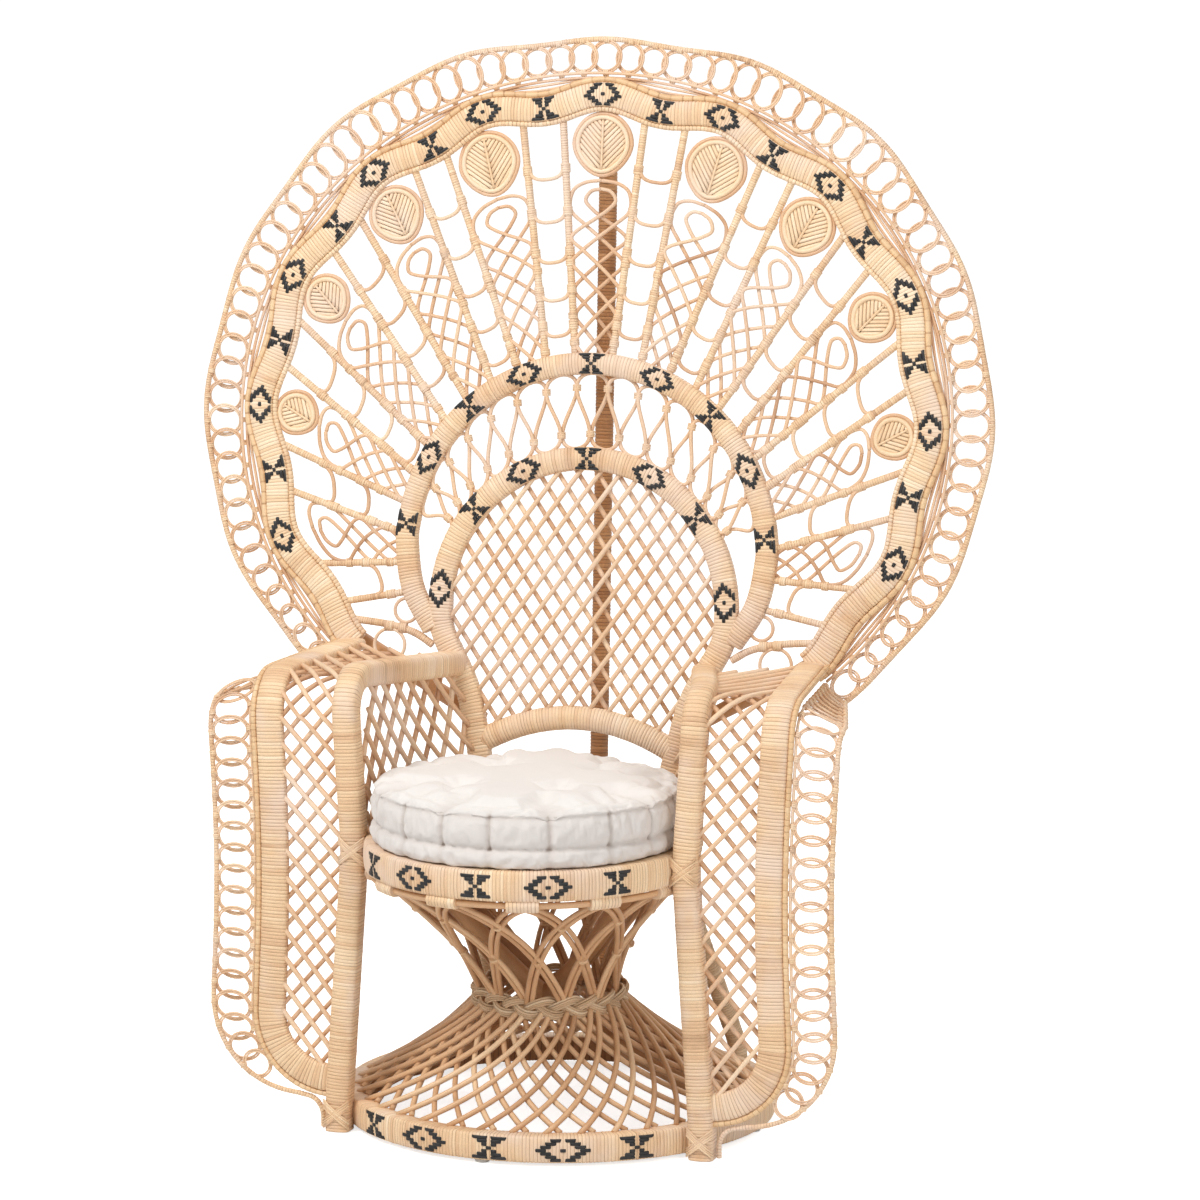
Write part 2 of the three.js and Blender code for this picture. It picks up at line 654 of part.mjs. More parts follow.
// The post's line again, in step with the outer band's, for the lattice between them.
function onPost(z) {
  const next = postLine.findIndex((each) => each.z > z);
  const [low, high] = [postLine[next - 1], postLine[next]];
  return between(low, high, (z - low.z) / (high.z - low.z));
}
const bendStart = cornerSteps + uprightSteps;
const latticeLine = [...bandLine.slice(0, bendStart).map(({ z }) => onPost(z)), ...postLine.slice(3)];
const bandTailFront = fanToChair(bandTail.x, bandTail.y, tailGap + armBandDepth);
const railTailFront = fanToChair(innerEndU, railEndV, tailGap + armBandDepth);
const seatRim = seatRadius + latticeDepth / 2 + gap;
const rearTurn = THREE.MathUtils.radToDeg(Math.asin(innerFoot[0] / seatRim));
const frontTurn = THREE.MathUtils.radToDeg(Math.atan2(postSeatX, armY - seatY));

// Rear legs, from the feet of the inner arch to the floor behind the base ring.
function rearLeg(side, grow) {
  const [u, v] = innerFoot;
  const foot = around(side * legFootTurn, baseRadius + legRadius + gap, 0);
  const path = [
    fanToChair(side * u, v + overlap), fanToChair(side * u, v - legStart), foot.clone().setZ(legStand), foot,
  ];
  return sweep(path, roundSection(legRadius + grow, poleSides), () => point(0, 1, 0));
}

for (const [sideName, side] of Object.entries(sides)) {
  const post = (grow) => sweep(mirror(postLine, side), postSection(postSide + 2 * grow), outOfArm);
  const bandGirth = (grow) => bandSection(armBandWidth + 2 * grow, armBandDepth + 2 * grow);
  const armBand = (grow) => sweep(mirror(bandLine, side), bandGirth(grow), outOfArm);
  const postClear = post(gap);
  const armBandClear = armBand(gap);
  const fanClear = [bandClear, innerClear, middleClear].map(inChair);
  const armrest = trimmed(post(0), ...fanClear);
  addPiece(chair, `arm_post_${sideName}`, armrest, 'wrapped');
  const leg = trimmed(rearLeg(side, 0), fanClear[1], seatClear, baseClear);
  addPiece(chair, `rear_leg_${sideName}`, leg, 'wrapped');
  addPiece(chair, `arm_band_${sideName}`, trimmed(armBand(0), postClear, fanClear[0]), 'wrapped');

  const netEnd = (path, tail) => mirror([...path.slice(0, -1), tail], side);
  const armSheet = stretched(netEnd(latticeLine, railTailFront), netEnd(bandLine, bandTailFront));
  const armNet = pierced(longNet(armAcross, armAlong), armSheet, latticeDepth);
  addPiece(chair, `arm_lattice_${sideName}`, trimmed(armNet, postClear, armBandClear, ...fanClear), 'cane');

  const ringEnd = fanToChair(bandTail.x, bandTail.y, tailGap);
  const arm = pierced(stripCells(armRings, ringCell),
    stretched(netEnd(bandLine, ringEnd), mirror(edgeLine, side)), borderDepth);
  addPiece(chair, `arm_border_${sideName}`, trimmed(arm, armBandClear, postClear, fanClear[0]), 'cane');

  const rimPath = spread(frontTurn, rearTurn, sideSteps).map((turn) => point(
    side * seatRim * Math.sin(rad(turn)), seatY + seatRim * Math.cos(rad(turn)), seatTop - sideDrop));
  const topPath = mirror(spread(0, 1, sideSteps).map((share) => onPath(postLine.slice(-2), share)), side);
  const sideClear = [postClear, seatClear, rearLeg(side, gap)];
  const sideCells = netCells(sideAlong, sideAcross, netOpen);
  const sideNet = pierced(sideCells, stretched(rimPath, topPath), latticeDepth);
  addPiece(chair, `side_lattice_${sideName}`, trimmed(sideNet, ...sideClear, ...fanClear), 'cane');
}

// Seat, waist and base.
addPiece(chair, 'seat_ring', seatRing(0), 'wrapped');
addPiece(chair, 'base_ring', baseRing(0), 'wrapped');
const panelTop = seatTop - panelSink;
const panelRadius = seatRadius - seatThick - gap;

// Lathe geometry turned so that its axis is Z, with its doubled points merged.
function upright(lathe) {
  lathe.deleteAttribute('normal');
  lathe.deleteAttribute('uv');
  const merged = mergeVertices(lathe.rotateX(Math.PI / 2), mergeWithin);
  const corners = Array.from({ length: merged.attributes.position.count }, (_, i) =>
    new THREE.Vector3().fromBufferAttribute(merged.attributes.position, i));
  const index = [...merged.index.array];
  const faces = Array.from({ length: index.length / 3 }, (_, i) => index.slice(3 * i, 3 * i + 3));
  return closedGeometry(corners, faces.filter(([a, b, c]) => a !== b && b !== c && c !== a));
}

const seatPanel = (grow) => upright(new THREE.LatheGeometry([
  new THREE.Vector2(0, panelTop - panelThick - grow),
  new THREE.Vector2(panelRadius, panelTop - panelThick - grow),
  new THREE.Vector2(panelRadius, panelTop), new THREE.Vector2(0, panelTop),
], seatSegments)).translate(0, seatY, 0);
addPiece(chair, 'seat_panel', seatPanel(0), 'cane');

const braidProfile = roundSection(braidRadius, braidSides).map(([a, b]) => [waistRadius + a, waistZ + b]);
addPiece(chair, 'waist_braid', turnedRing(braidProfile, braidSegments).translate(0, waistY, 0), 'cane');

// Flared cane shell between two circles, drawn in between them.
function flared(low, high, drawn) {
  return (u, v, w) => {
    const radius = lerp(low.radius, high.radius, v) - drawn * Math.sin(Math.PI * v) + w;
    const turn = 2 * Math.PI * u;
    const y = lerp(low.y, high.y, v);
    return point(radius * Math.sin(turn), y - radius * Math.cos(turn), lerp(low.z, high.z, v));
  };
}
const waistTop = { radius: waistRadius, y: waistY, z: waistZ + braidRadius + gap };
const waistLow = { radius: waistRadius, y: waistY, z: waistZ - braidRadius - gap };
const underSeat = { radius: seatRadius - seatThick / 2, y: seatY, z: seatBottom - gap };
const onBase = { radius: baseRadius - baseThick + shellDepth, y: 0, z: footHeight + baseHeight + gap };
const upperCells = netCells(upperArches, 1, netOpen, true);
const lowerCells = netCells(lowerSticks, lowerRows, netOpen, true);
const upperShape = flared(waistTop, underSeat, upperDrawn);
const lowerShape = flared(onBase, waistLow, lowerDrawn);
addPiece(chair, 'upper_arches', pierced(upperCells, upperShape, shellDepth), 'cane');
const lowerNet = trimmed(pierced(lowerCells, lowerShape, shellDepth), pole(gap));
addPiece(chair, 'lower_sticks', lowerNet, 'cane');

// Two crossing frames inside the base, from the seat panel to the base ring.
const crossTop = seatRadius - seatThick - crossInset;
for (const [name, offset] of Object.entries({ front: -crossOffset, rear: crossOffset })) {
  const poles = Object.values(sides).map((side) => sweep(new THREE.CatmullRomCurve3([
    point(-side * crossTop, seatY + offset, panelTop - panelThick),
    point(0, waistY + offset, waistZ),
    point(side * (baseRadius - baseThick + overlap), offset, crossFootZ),
  ]).getPoints(crossSteps), roundSection(crossRadius, braceSides), () => point(0, 1, 0)));
  addPiece(chair, `cross_poles_${name}`, trimmed(kept(joined(...poles)), seatPanel(gap), baseClear), 'pole');
}

for (const [place, turn] of Object.entries(footTurns)) {
  const middle = baseRadius - baseThick / 2;
  const glide = new THREE.LatheGeometry([
    new THREE.Vector2(0, 0), new THREE.Vector2(footRadius - footTaper, 0),
    new THREE.Vector2(footRadius, footHeight - gap), new THREE.Vector2(0, footHeight - gap),
  ], footSides);
  const geometry = upright(glide).translate(middle * Math.sin(rad(turn)), -middle * Math.cos(rad(turn)), 0);
  addPiece(chair, `foot_${place}`, geometry, 'glide');
}

// Cushion: crowned top with sewn tufts, and a side wall drawn in between two rolled edges.
const cushionProfile = [
  ...bottomShares.map((share) => [share, 0]),
  ...spread(...wallLevels, wallSteps).map((level) => [1, level]),
  ...topShares.map((share) => [share, 1]),
];
const cushionRadius = seatRadius - cushionInset;
const tufts = tuftRings.flatMap(([share, count]) => Array.from({ length: count }, (_, i) => {
  const turn = 2 * Math.PI * i / count;
  return [share * cushionRadius * Math.sin(turn), share * cushionRadius * Math.cos(turn)];
}));
const tuftSink = (x, y) => tufts.reduce((sum, [a, b]) =>
  sum + tuftDepth * Math.exp(-((x - a) ** 2 + (y - b) ** 2) / tuftSize ** 2), 0);

function cushionPoint(share, level, turn) {
  const wall = share === 1 ? Math.sin(Math.PI * THREE.MathUtils.inverseLerp(...wallLevels, level)) : 0;
  const pull = pullDepth * Math.max(0, Math.cos(cushionPulls * turn)) ** 2;
  const radius = share * cushionRadius - wall * (cushionWaist + pull);
  const x = radius * Math.sin(turn);
  const y = radius * Math.cos(turn);
  const crown = level === 1 ? cushionCrown * (1 - share ** 2) - tuftSink(x, y) : 0;
  return point(x, y + seatY - cushionForward, seatTop + gap + level * cushionHeight + crown);
}
const cushionRings = cushionProfile.map(([share, level]) =>
  spread(0, 2 * Math.PI, 2 * cushionPulls).slice(0, -1).map((turn) => cushionPoint(share, level, turn)));
addPiece(chair, 'seat_cushion', loft(cushionRings), 'linen');

// The origin lies on the floor, in the middle of the chair's box.
chair.updateMatrixWorld(true);
const box = new THREE.Box3().setFromObject(chair);
chair.position.y = -(box.min.y + box.max.y) / 2;

export default chair;
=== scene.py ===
"""Rattan peacock chair, photographed in a white studio."""

import math

import bpy
import numpy as np
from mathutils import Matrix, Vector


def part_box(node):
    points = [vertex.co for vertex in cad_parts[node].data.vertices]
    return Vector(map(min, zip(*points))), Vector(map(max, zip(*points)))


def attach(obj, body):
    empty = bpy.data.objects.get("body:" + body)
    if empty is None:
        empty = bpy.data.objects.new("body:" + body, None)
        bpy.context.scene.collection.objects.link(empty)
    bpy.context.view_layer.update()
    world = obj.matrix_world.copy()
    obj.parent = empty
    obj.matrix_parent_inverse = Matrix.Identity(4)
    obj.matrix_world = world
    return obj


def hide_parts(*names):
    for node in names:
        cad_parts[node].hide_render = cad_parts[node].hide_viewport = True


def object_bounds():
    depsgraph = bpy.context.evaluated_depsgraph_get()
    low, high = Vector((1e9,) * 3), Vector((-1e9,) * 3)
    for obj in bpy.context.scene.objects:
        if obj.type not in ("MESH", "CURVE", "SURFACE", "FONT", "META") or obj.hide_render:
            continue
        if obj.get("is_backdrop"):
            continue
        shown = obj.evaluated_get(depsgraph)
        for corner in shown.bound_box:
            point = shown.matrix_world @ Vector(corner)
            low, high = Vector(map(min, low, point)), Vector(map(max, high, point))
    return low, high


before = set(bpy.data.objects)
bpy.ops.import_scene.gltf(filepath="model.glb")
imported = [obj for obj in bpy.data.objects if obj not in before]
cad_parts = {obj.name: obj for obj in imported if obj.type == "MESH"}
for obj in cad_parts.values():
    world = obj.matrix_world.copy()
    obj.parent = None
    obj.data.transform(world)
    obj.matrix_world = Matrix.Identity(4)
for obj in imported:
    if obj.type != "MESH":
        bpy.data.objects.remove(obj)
packed_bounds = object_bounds()
rng = np.random.default_rng(11)

MM = 0.001
WRAP, INK, CANE, POLE, BRAID, GOLD, LINEN, GLIDE, SHADE = range(9)

# Materials. Colours are screen colours, and each list runs from the darkest tone to the lightest.
BLEACHED = (233, 211, 193)
PALE = [(0.0, (198, 160, 124)), (0.25, (225, 186, 147)), (0.5, (235, 200, 160)),
        (0.75, (242, 212, 174)), (1.0, (249, 226, 194))]
CANES = [(0.0, (192, 146, 110)), (0.3, (220, 178, 140)), (0.6, (233, 196, 159)), (1.0, (245, 218, 186))]
BROWN = [(0.0, (158, 110, 70)), (0.5, (190, 139, 93)), (1.0, (214, 168, 121))]
GREYED = [(0.0, (184, 150, 114)), (0.5, (210, 178, 142)), (1.0, (230, 206, 174))]
GOLDEN = [(0.0, (212, 170, 126)), (0.5, (230, 193, 148)), (1.0, (241, 212, 172))]
BLACK = [(0.0, (26, 26, 28)), (0.5, (38, 38, 40)), (1.0, (58, 56, 56))]
TAN = [(0.0, (178, 133, 94)), (0.4, (212, 167, 125)), (0.7, (226, 185, 143)), (1.0, (236, 202, 163))]
# Linen: from the colour of the wall up to the lighter top, which is painted light, with stains in between.
LINEN_LIT_AND_STAINED = [(0.0, (214, 208, 204)), (1.0, (235, 232, 229))]
# Colour of the painted shade in the cushion's creases.
CREASE_SHADE = (178, 164, 154)
SCUFFED = [(0.0, (182, 179, 174)), (1.0, (214, 211, 206))]
STAIN, MOTTLE = 0.5, 0.16
MAIN_OUTPUTS = {
    "TexCoord": "Object", "LightPath": "Is Camera Ray", "Attribute": "Fac", "TexNoise": "Fac",
    "TexWave": "Fac", "Math": "Value", "MapRange": "Result", "Mix": "Result", "Bump": "Normal",
    "BsdfDiffuse": "BSDF", "Emission": "Emission", "Background": "Background", "AddShader": "Shader",
    "MixShader": "Shader",
}


def linear(red, green, blue):
    """Linear colour from the 0 to 255 values of a screen colour."""
    shares = np.array([red, green, blue]) / 255
    bright = ((shares + 0.055) / 1.055) ** 2.4
    return (*np.where(shares > 0.04045, bright, shares / 12.92), 1.0)


def give(target, values):
    """Sets the named values of a target."""
    for key, value in values.items():
        setattr(target, key, value)


def join(tree, node, inputs):
    """Gives each input of a node a value, or the output of another node."""
    for key, value in inputs.items():
        if isinstance(value, bpy.types.NodeSocket):
            tree.links.new(value, node.inputs[key])
        else:
            node.inputs[key].default_value = value


def add_node(tree, kind, inputs, **settings):
    """New shader node, returned as its main output."""
    made = tree.nodes.new("ShaderNode" + kind)
    give(made, settings)
    join(tree, made, inputs)
    return made.outputs[MAIN_OUTPUTS[kind]]


def add_noise(tree, scale, detail, roughness=0.5):
    place = add_node(tree, "TexCoord", {})
    inputs = {"Vector": place, "Scale": scale, "Detail": detail, "Roughness": roughness}
    return add_node(tree, "TexNoise", inputs)


def add_mix(tree, share, first, second, blend="MIX"):
    inputs = {"Factor": share, "A": first, "B": second}
    return add_node(tree, "Mix", inputs, data_type="RGBA", blend_type=blend)


def add_ramp(tree, share, stops):
    """Colour that a share picks from stops."""
    made = tree.nodes.new("ShaderNodeValToRGB")
    elements = made.color_ramp.elements
    while len(elements) < len(stops):
        elements.new(0.5)
    for element, (position, colour) in zip(elements, stops):
        element.position = position
        element.color = linear(*colour)
    join(tree, made, {"Fac": share})
    return made.outputs["Color"]


def new_material(name):
    """New material, with its nodes and its main shader."""
    material = bpy.data.materials.new(name)
    material.use_nodes = True
    return material, material.node_tree, material.node_tree.nodes["Principled BSDF"]


def rattan(name, stops, groove_shade, roughness, bleach=0.0):
    """Dried cane: each strip has its own tone, with soft stains, paler patches and fine grain; a dark colour mixed
    into the grooves between strips is painted shade.
    """
    material, tree, shader = new_material(name)
    tone, gap_shade = (add_node(tree, "Attribute", {}, attribute_name=label) for label in ("tone", "gap_shade"))
    stains = add_noise(tree, 26.0, 4.0, 0.6)
    grain = add_noise(tree, 900.0, 2.0)
    patches = add_noise(tree, 9.0, 3.0, 0.6)
    stained = add_node(tree, "Math", {0: stains, 1: STAIN, 2: tone}, operation="MULTIPLY_ADD")
    level = add_node(tree, "Math", {0: stained, 1: STAIN / 2}, operation="SUBTRACT")
    speckle = add_node(tree, "MapRange", {"Value": grain, "From Min": 0.25, "From Max": 0.75,
                                          "To Min": 1.0 - MOTTLE, "To Max": 1.0 + MOTTLE * 0.6})
    faded = add_node(tree, "MapRange", {"Value": patches, "From Min": 0.46, "From Max": 0.66,
                                        "To Max": bleach})
    gloss = add_node(tree, "MapRange", {"Value": stains, "To Min": roughness - 0.08,
                                        "To Max": roughness + 0.14})
    colour = add_mix(tree, 1.0, add_ramp(tree, level, stops), speckle, "MULTIPLY")
    colour = add_mix(tree, faded, colour, linear(*BLEACHED))
    # Painted shade: the groove colour darkens the grooves between strips and the ends of wound canes.
    colour = add_mix(tree, gap_shade, colour, linear(*groove_shade))
    bump = add_node(tree, "Bump", {"Height": grain, "Strength": 0.18, "Distance": 0.0004})
    join(tree, shader, {"Base Color": colour, "Roughness": gloss, "Normal": bump})
    return material


def woven_linen(name):
    """Washed cotton and linen: a fine plain weave with soft uneven threads and soft stains, its top painted lighter
    than its wall, and painted shade in its creases.
    """
    material, tree, shader = new_material(name)
    tone, gap_shade = (add_node(tree, "Attribute", {}, attribute_name=label) for label in ("tone", "gap_shade"))
    weave = {"Vector": add_node(tree, "TexCoord", {}), "Scale": 330.0, "Distortion": 1.2}
    warp, weft = (add_node(tree, "TexWave", weave, bands_direction=way) for way in ("X", "Y"))
    threads = add_node(tree, "Math", {0: warp, 1: weft}, operation="ADD")
    slubs = add_noise(tree, 420.0, 3.0)
    uneven = add_node(tree, "Math", {0: threads, 1: slubs}, operation="ADD")
    stains = add_node(tree, "Math", {0: add_noise(tree, 14.0, 5.0, 0.65), 1: 0.42}, operation="MULTIPLY")
    # Painted light: the tone lifts the top of the cushion to a lighter colour than its wall.
    level = add_node(tree, "Math", {0: tone, 1: 0.62, 2: stains}, operation="MULTIPLY_ADD")
    # Painted shade: the crease colour darkens seams, stitches, folds, rolls and tufts.
    colour = add_mix(tree, gap_shade, add_ramp(tree, level, LINEN_LIT_AND_STAINED), linear(*CREASE_SHADE))
    bump = add_node(tree, "Bump", {"Height": uneven, "Strength": 0.22, "Distance": 0.0006})
    join(tree, shader, {"Base Color": colour, "Normal": bump, "Roughness": 0.92, "Sheen Weight": 0.25,
                        "Sheen Roughness": 0.6})
    return material


def worn_plastic(name):
    """Grey plastic with scuffs."""
    material, tree, shader = new_material(name)
    scuffs = add_noise(tree, 160.0, 4.0)
    join(tree, shader, {"Base Color": add_ramp(tree, scuffs, SCUFFED), "Roughness": 0.45})
    return material


MATERIALS = {
    # The third value of each cane material is the colour of the painted shade in its grooves.
    WRAP: rattan("wrapped rattan", PALE, (146, 100, 62), 0.5, 0.75),
    INK: rattan("black strip", BLACK, (14, 13, 13), 0.48),
    CANE: rattan("bare cane", CANES, (150, 104, 66), 0.42, 0.6),
    POLE: rattan("rattan pole", BROWN, (92, 58, 34), 0.5),
    BRAID: rattan("rush braid", GREYED, (128, 100, 72), 0.62),
    GOLD: rattan("golden piping", GOLDEN, (178, 132, 90), 0.46),
    LINEN: woven_linen("washed linen"),
    GLIDE: worn_plastic("grey glide"),
    SHADE: rattan("base cane", TAN, (118, 78, 46), 0.44),
}


# Curves, as rows of points in millimetres.
def unit(vectors):
    return vectors / np.maximum(np.linalg.norm(vectors, axis=-1, keepdims=True), 1e-9)


def curve(points, steps):
    """Smooth curve through the points."""
    points = np.asarray(points, float)
    spans = len(points) - 1
    padded = np.vstack([2 * points[0] - points[1], points, 2 * points[-1] - points[-2]])
    before, start, after, second = (padded[skip:skip + spans, None] for skip in range(4))
    t = (np.arange(steps) / steps)[None, :, None]
    rows = 0.5 * (2 * start + (after - before) * t + (2 * before - 5 * start + 4 * after - second) * t ** 2
                  + (3 * start - before - 3 * after + second) * t ** 3)
    return np.vstack([rows.reshape(-1, points.shape[1]), points[-1]])


def full_turn(steps):
    """Turns once round, in radians."""
    return np.linspace(0, 2 * math.pi, steps, endpoint=False)


def relaxed(points, rounds):
    """The same line with its kinks eased and its ends kept."""
    points = np.array(points, float)
    for _ in range(rounds):
        points[1:-1] = (points[:-2] + 2 * points[1:-1] + points[2:]) / 4
    return points


def reach_of(path):
    """Distance along a path at each of its points."""
    return np.concatenate([[0], np.cumsum(np.linalg.norm(np.diff(path, axis=0), axis=1))])


def follow(values, reach, places):
    """Rows of values, read off at places between those of reach."""
    return np.stack([np.interp(places, reach, column) for column in np.asarray(values).T], 1)


def resampled(path, count):
    reach = reach_of(path)
    return follow(path, reach, np.linspace(0, reach[-1], count))


def tangents(path, closed=False):
    if closed:
        return unit(np.roll(path, -1, 0) - np.roll(path, 1, 0))
    return unit(np.gradient(path, axis=0))


def sweep(path, facing, section, closed=False, along=None):
    """Rings of a section of [across, out] points along a path."""
    along = tangents(path, closed) if along is None else along
    across = unit(np.cross(along, np.broadcast_to(facing, path.shape)))
    out = np.cross(across, along)
    section = np.broadcast_to(section, (len(path), *section.shape[-2:]))
    return path[:, None] + across[:, None] * section[..., :1] + out[:, None] * section[..., 1:]


def oval(wide, deep, sides=8):
    turn = (np.arange(sides) + 0.5) * 2 * math.pi / sides
    return np.stack([wide * np.cos(turn), deep * np.sin(turn)], 1)


def band_section(width, depth, corner, cells, crown=0.0):
    """Flat section with rounded corners, its front face divided into cells."""
    wide, deep = width / 2, depth / 2
    flat = wide - corner
    cut = 0.29 * corner
    face = np.linspace(flat, -flat, cells + 1)
    front = np.stack([face, deep + crown * (1 - (face / flat) ** 2)], 1)
    right = np.array([[wide - cut, cut - deep], [wide, corner - deep], [wide, deep - corner],
                      [wide - cut, deep - cut]])
    back = np.array([[-flat, -deep], [flat, -deep]])
    left = right[::-1] * [-1, 1]
    return np.vstack([back, right, front, left])


def outward(section):
    """Normals of a section's points."""
    before = unit(section - np.roll(section, 1, 0))
    after = unit(np.roll(section, -1, 0) - section)
    along = unit(before + after)
    return np.stack([along[:, 1], -along[:, 0]], 1)


# Surfaces of the pieces.
def set_points(mesh, points):
    mesh.vertices.foreach_set("co", (points * MM).astype(np.float32).reshape(-1))


def paint(mesh, label, values):
    """Gives a mesh one value of a label at each of its points."""
    layer = mesh.attributes.get(label) or mesh.attributes.new(label, "FLOAT", "POINT")
    layer.data.foreach_set("value", values.astype(np.float32))


class Work:
    """Surface of one piece of the chair, gathered from many strips and canes."""

    def __init__(self):
        self.points, self.quads, self.finish = [], [], []
        self.tone, self.gap_shade = [], []
        self.caps, self.cap_finish = [], []
        self.count = 0

    def add(self, rings, finish, tone=0.5, gap_shade=0.0, closed=False):
        """Skin over rings of points, with its ends capped if it isn't closed."""
        rows, sides = rings.shape[:2]
        index = self.count + np.arange(rows * sides).reshape(rows, sides)
        near = index if closed else index[:-1]
        far = np.roll(index, -1, 0) if closed else index[1:]
        quads = np.stack([near, far, np.roll(far, -1, 1), np.roll(near, -1, 1)], -1).reshape(-1, 4)
        self.points.append(rings.reshape(-1, 3))
        self.quads.append(quads)
        self.finish.append(np.full(len(quads), finish))
        # Each ring's tone, and its share of painted shade from the groove or crease colour.
        for store, value in ((self.tone, tone), (self.gap_shade, gap_shade)):
            store.append(np.broadcast_to(np.reshape(value, (-1, 1)), (rows, sides)).reshape(-1))
        if not closed:
            self.caps += [index[0], index[-1][::-1]]
            self.cap_finish += [finish, finish]
        self.count += rows * sides

    def build(self, name):
        mesh = bpy.data.meshes.new(name)
        points = np.concatenate(self.points)
        quads = np.concatenate(self.quads)
        loops = np.concatenate([quads.reshape(-1), *self.caps])
        sizes = np.concatenate([np.full(len(quads), 4), [len(cap) for cap in self.caps]]).astype(int)
        starts = np.concatenate([[0], np.cumsum(sizes)[:-1]])
        finish = np.concatenate([*self.finish, self.cap_finish]).astype(int)
        mesh.vertices.add(len(points))
        set_points(mesh, points)
        mesh.loops.add(len(loops))
        mesh.loops.foreach_set("vertex_index", loops.astype(np.int32))
        mesh.polygons.add(len(sizes))
        mesh.polygons.foreach_set("loop_start", starts.astype(np.int32))
        used = np.unique(finish)
        for each in used:
            mesh.materials.append(MATERIALS[int(each)])
        mesh.polygons.foreach_set("material_index", np.searchsorted(used, finish).astype(np.int32))
        smooth = np.arange(len(sizes)) < len(quads)
        mesh.polygons.foreach_set("use_smooth", smooth)
        for label, store in (("tone", self.tone), ("gap_shade", self.gap_shade)):
            paint(mesh, label, np.concatenate(store))
        mesh.update(calc_edges=True)
        piece = bpy.data.objects.new(name, mesh)
        bpy.context.scene.collection.objects.link(piece)
        return piece


works = {}


def work(node):
    return works.setdefault(node, Work())


# Canes and winding. A strip is its groove, near shoulder, crown and far shoulder, as shares of its width.
CANE_TONE, CANE_DRIFT, CANE_UNEVEN = 0.17, 0.06, 0.02
STRIP_SHARES = np.array([0, 0.11, 0.5, 0.89])
STRIP_CROWN, STRIP_LIFT, STRIP_SHIFT = 0.22, 0.08, 0.1
STRIP_TONE, STRETCH_TONE, STRETCH_STRIPS = 0.12, 0.15, 18
# Painted shade in the grooves: the share of fully dark grooves, the faintest groove, and the ends of a winding.
FULLY_SHADED_GROOVES, FAINTEST_GROOVE_SHADE, END_GROOVE_SHADE = 0.08, 0.32, 0.2
BAR_SHARES = np.array([-0.05, 0.06, 0.36, 0.64, 0.94, 1.05])
BAR_RISE = np.array([-0.7, 0.5, 0.75, 0.75, 0.5, -0.7])
BAR_ROW = 4.6


def tube(on, path, facing, radius, sides=6, finish=CANE, tone=None, closed=False, flat=1.0):
    """Bare cane along a path, a little uneven in thickness and tone."""
    path = np.asarray(path, float)
    shade = rng.normal(0.5, CANE_TONE) if tone is None else tone
    thickness = radius * (1 + rng.normal(0, CANE_UNEVEN, len(path)))
    drift = np.interp(np.arange(len(path)), [0, len(path) / 2, len(path)], rng.normal(0, CANE_DRIFT, 3))
    section = oval(1, flat, sides) * np.reshape(thickness, (-1, 1, 1))
    on.add(sweep(path, facing, section, closed), finish, np.clip(shade + drift, 0, 1), closed=closed)


def tones(count, middle):
    """Tones of neighbouring strips: slow stretches of lighter and darker cane, and each strip's own."""
    knots = count // STRETCH_STRIPS + 2
    stretch = rng.normal(0, STRETCH_TONE, knots)
    stretch = np.interp(np.linspace(0, knots - 1, count), np.arange(knots), stretch)
    return np.clip(middle + stretch + rng.normal(0, STRIP_TONE, count), 0, 1)


def dyed(on, lines, reach, section, marks, cell):
    """Dyed motifs over winding, whose lines are its path, its direction along and its direction out."""
    front = section[section[:, 1] > 0]
    front = front[np.argsort(front[:, 0])]
    row_step = min(BAR_ROW, 0.27 * front[-1, 0])
    for spot, motif in marks:
        for first, last, row in motif:
            long = (last - first + 1) * cell
            stretch = (spot + (first - 0.5) * cell + long * BAR_SHARES) % reach[-1]
            middle, along, out = (follow(rows, reach, stretch) for rows in lines)
            out = unit(out)
            across = unit(np.cross(unit(along), out))
            rise = np.interp(row * row_step, *front.T) + BAR_RISE
            bar = middle + across * row * row_step + out * rise[:, None]
            tube(on, bar, out, 0.55 * row_step, 8, INK, flat=0.3)


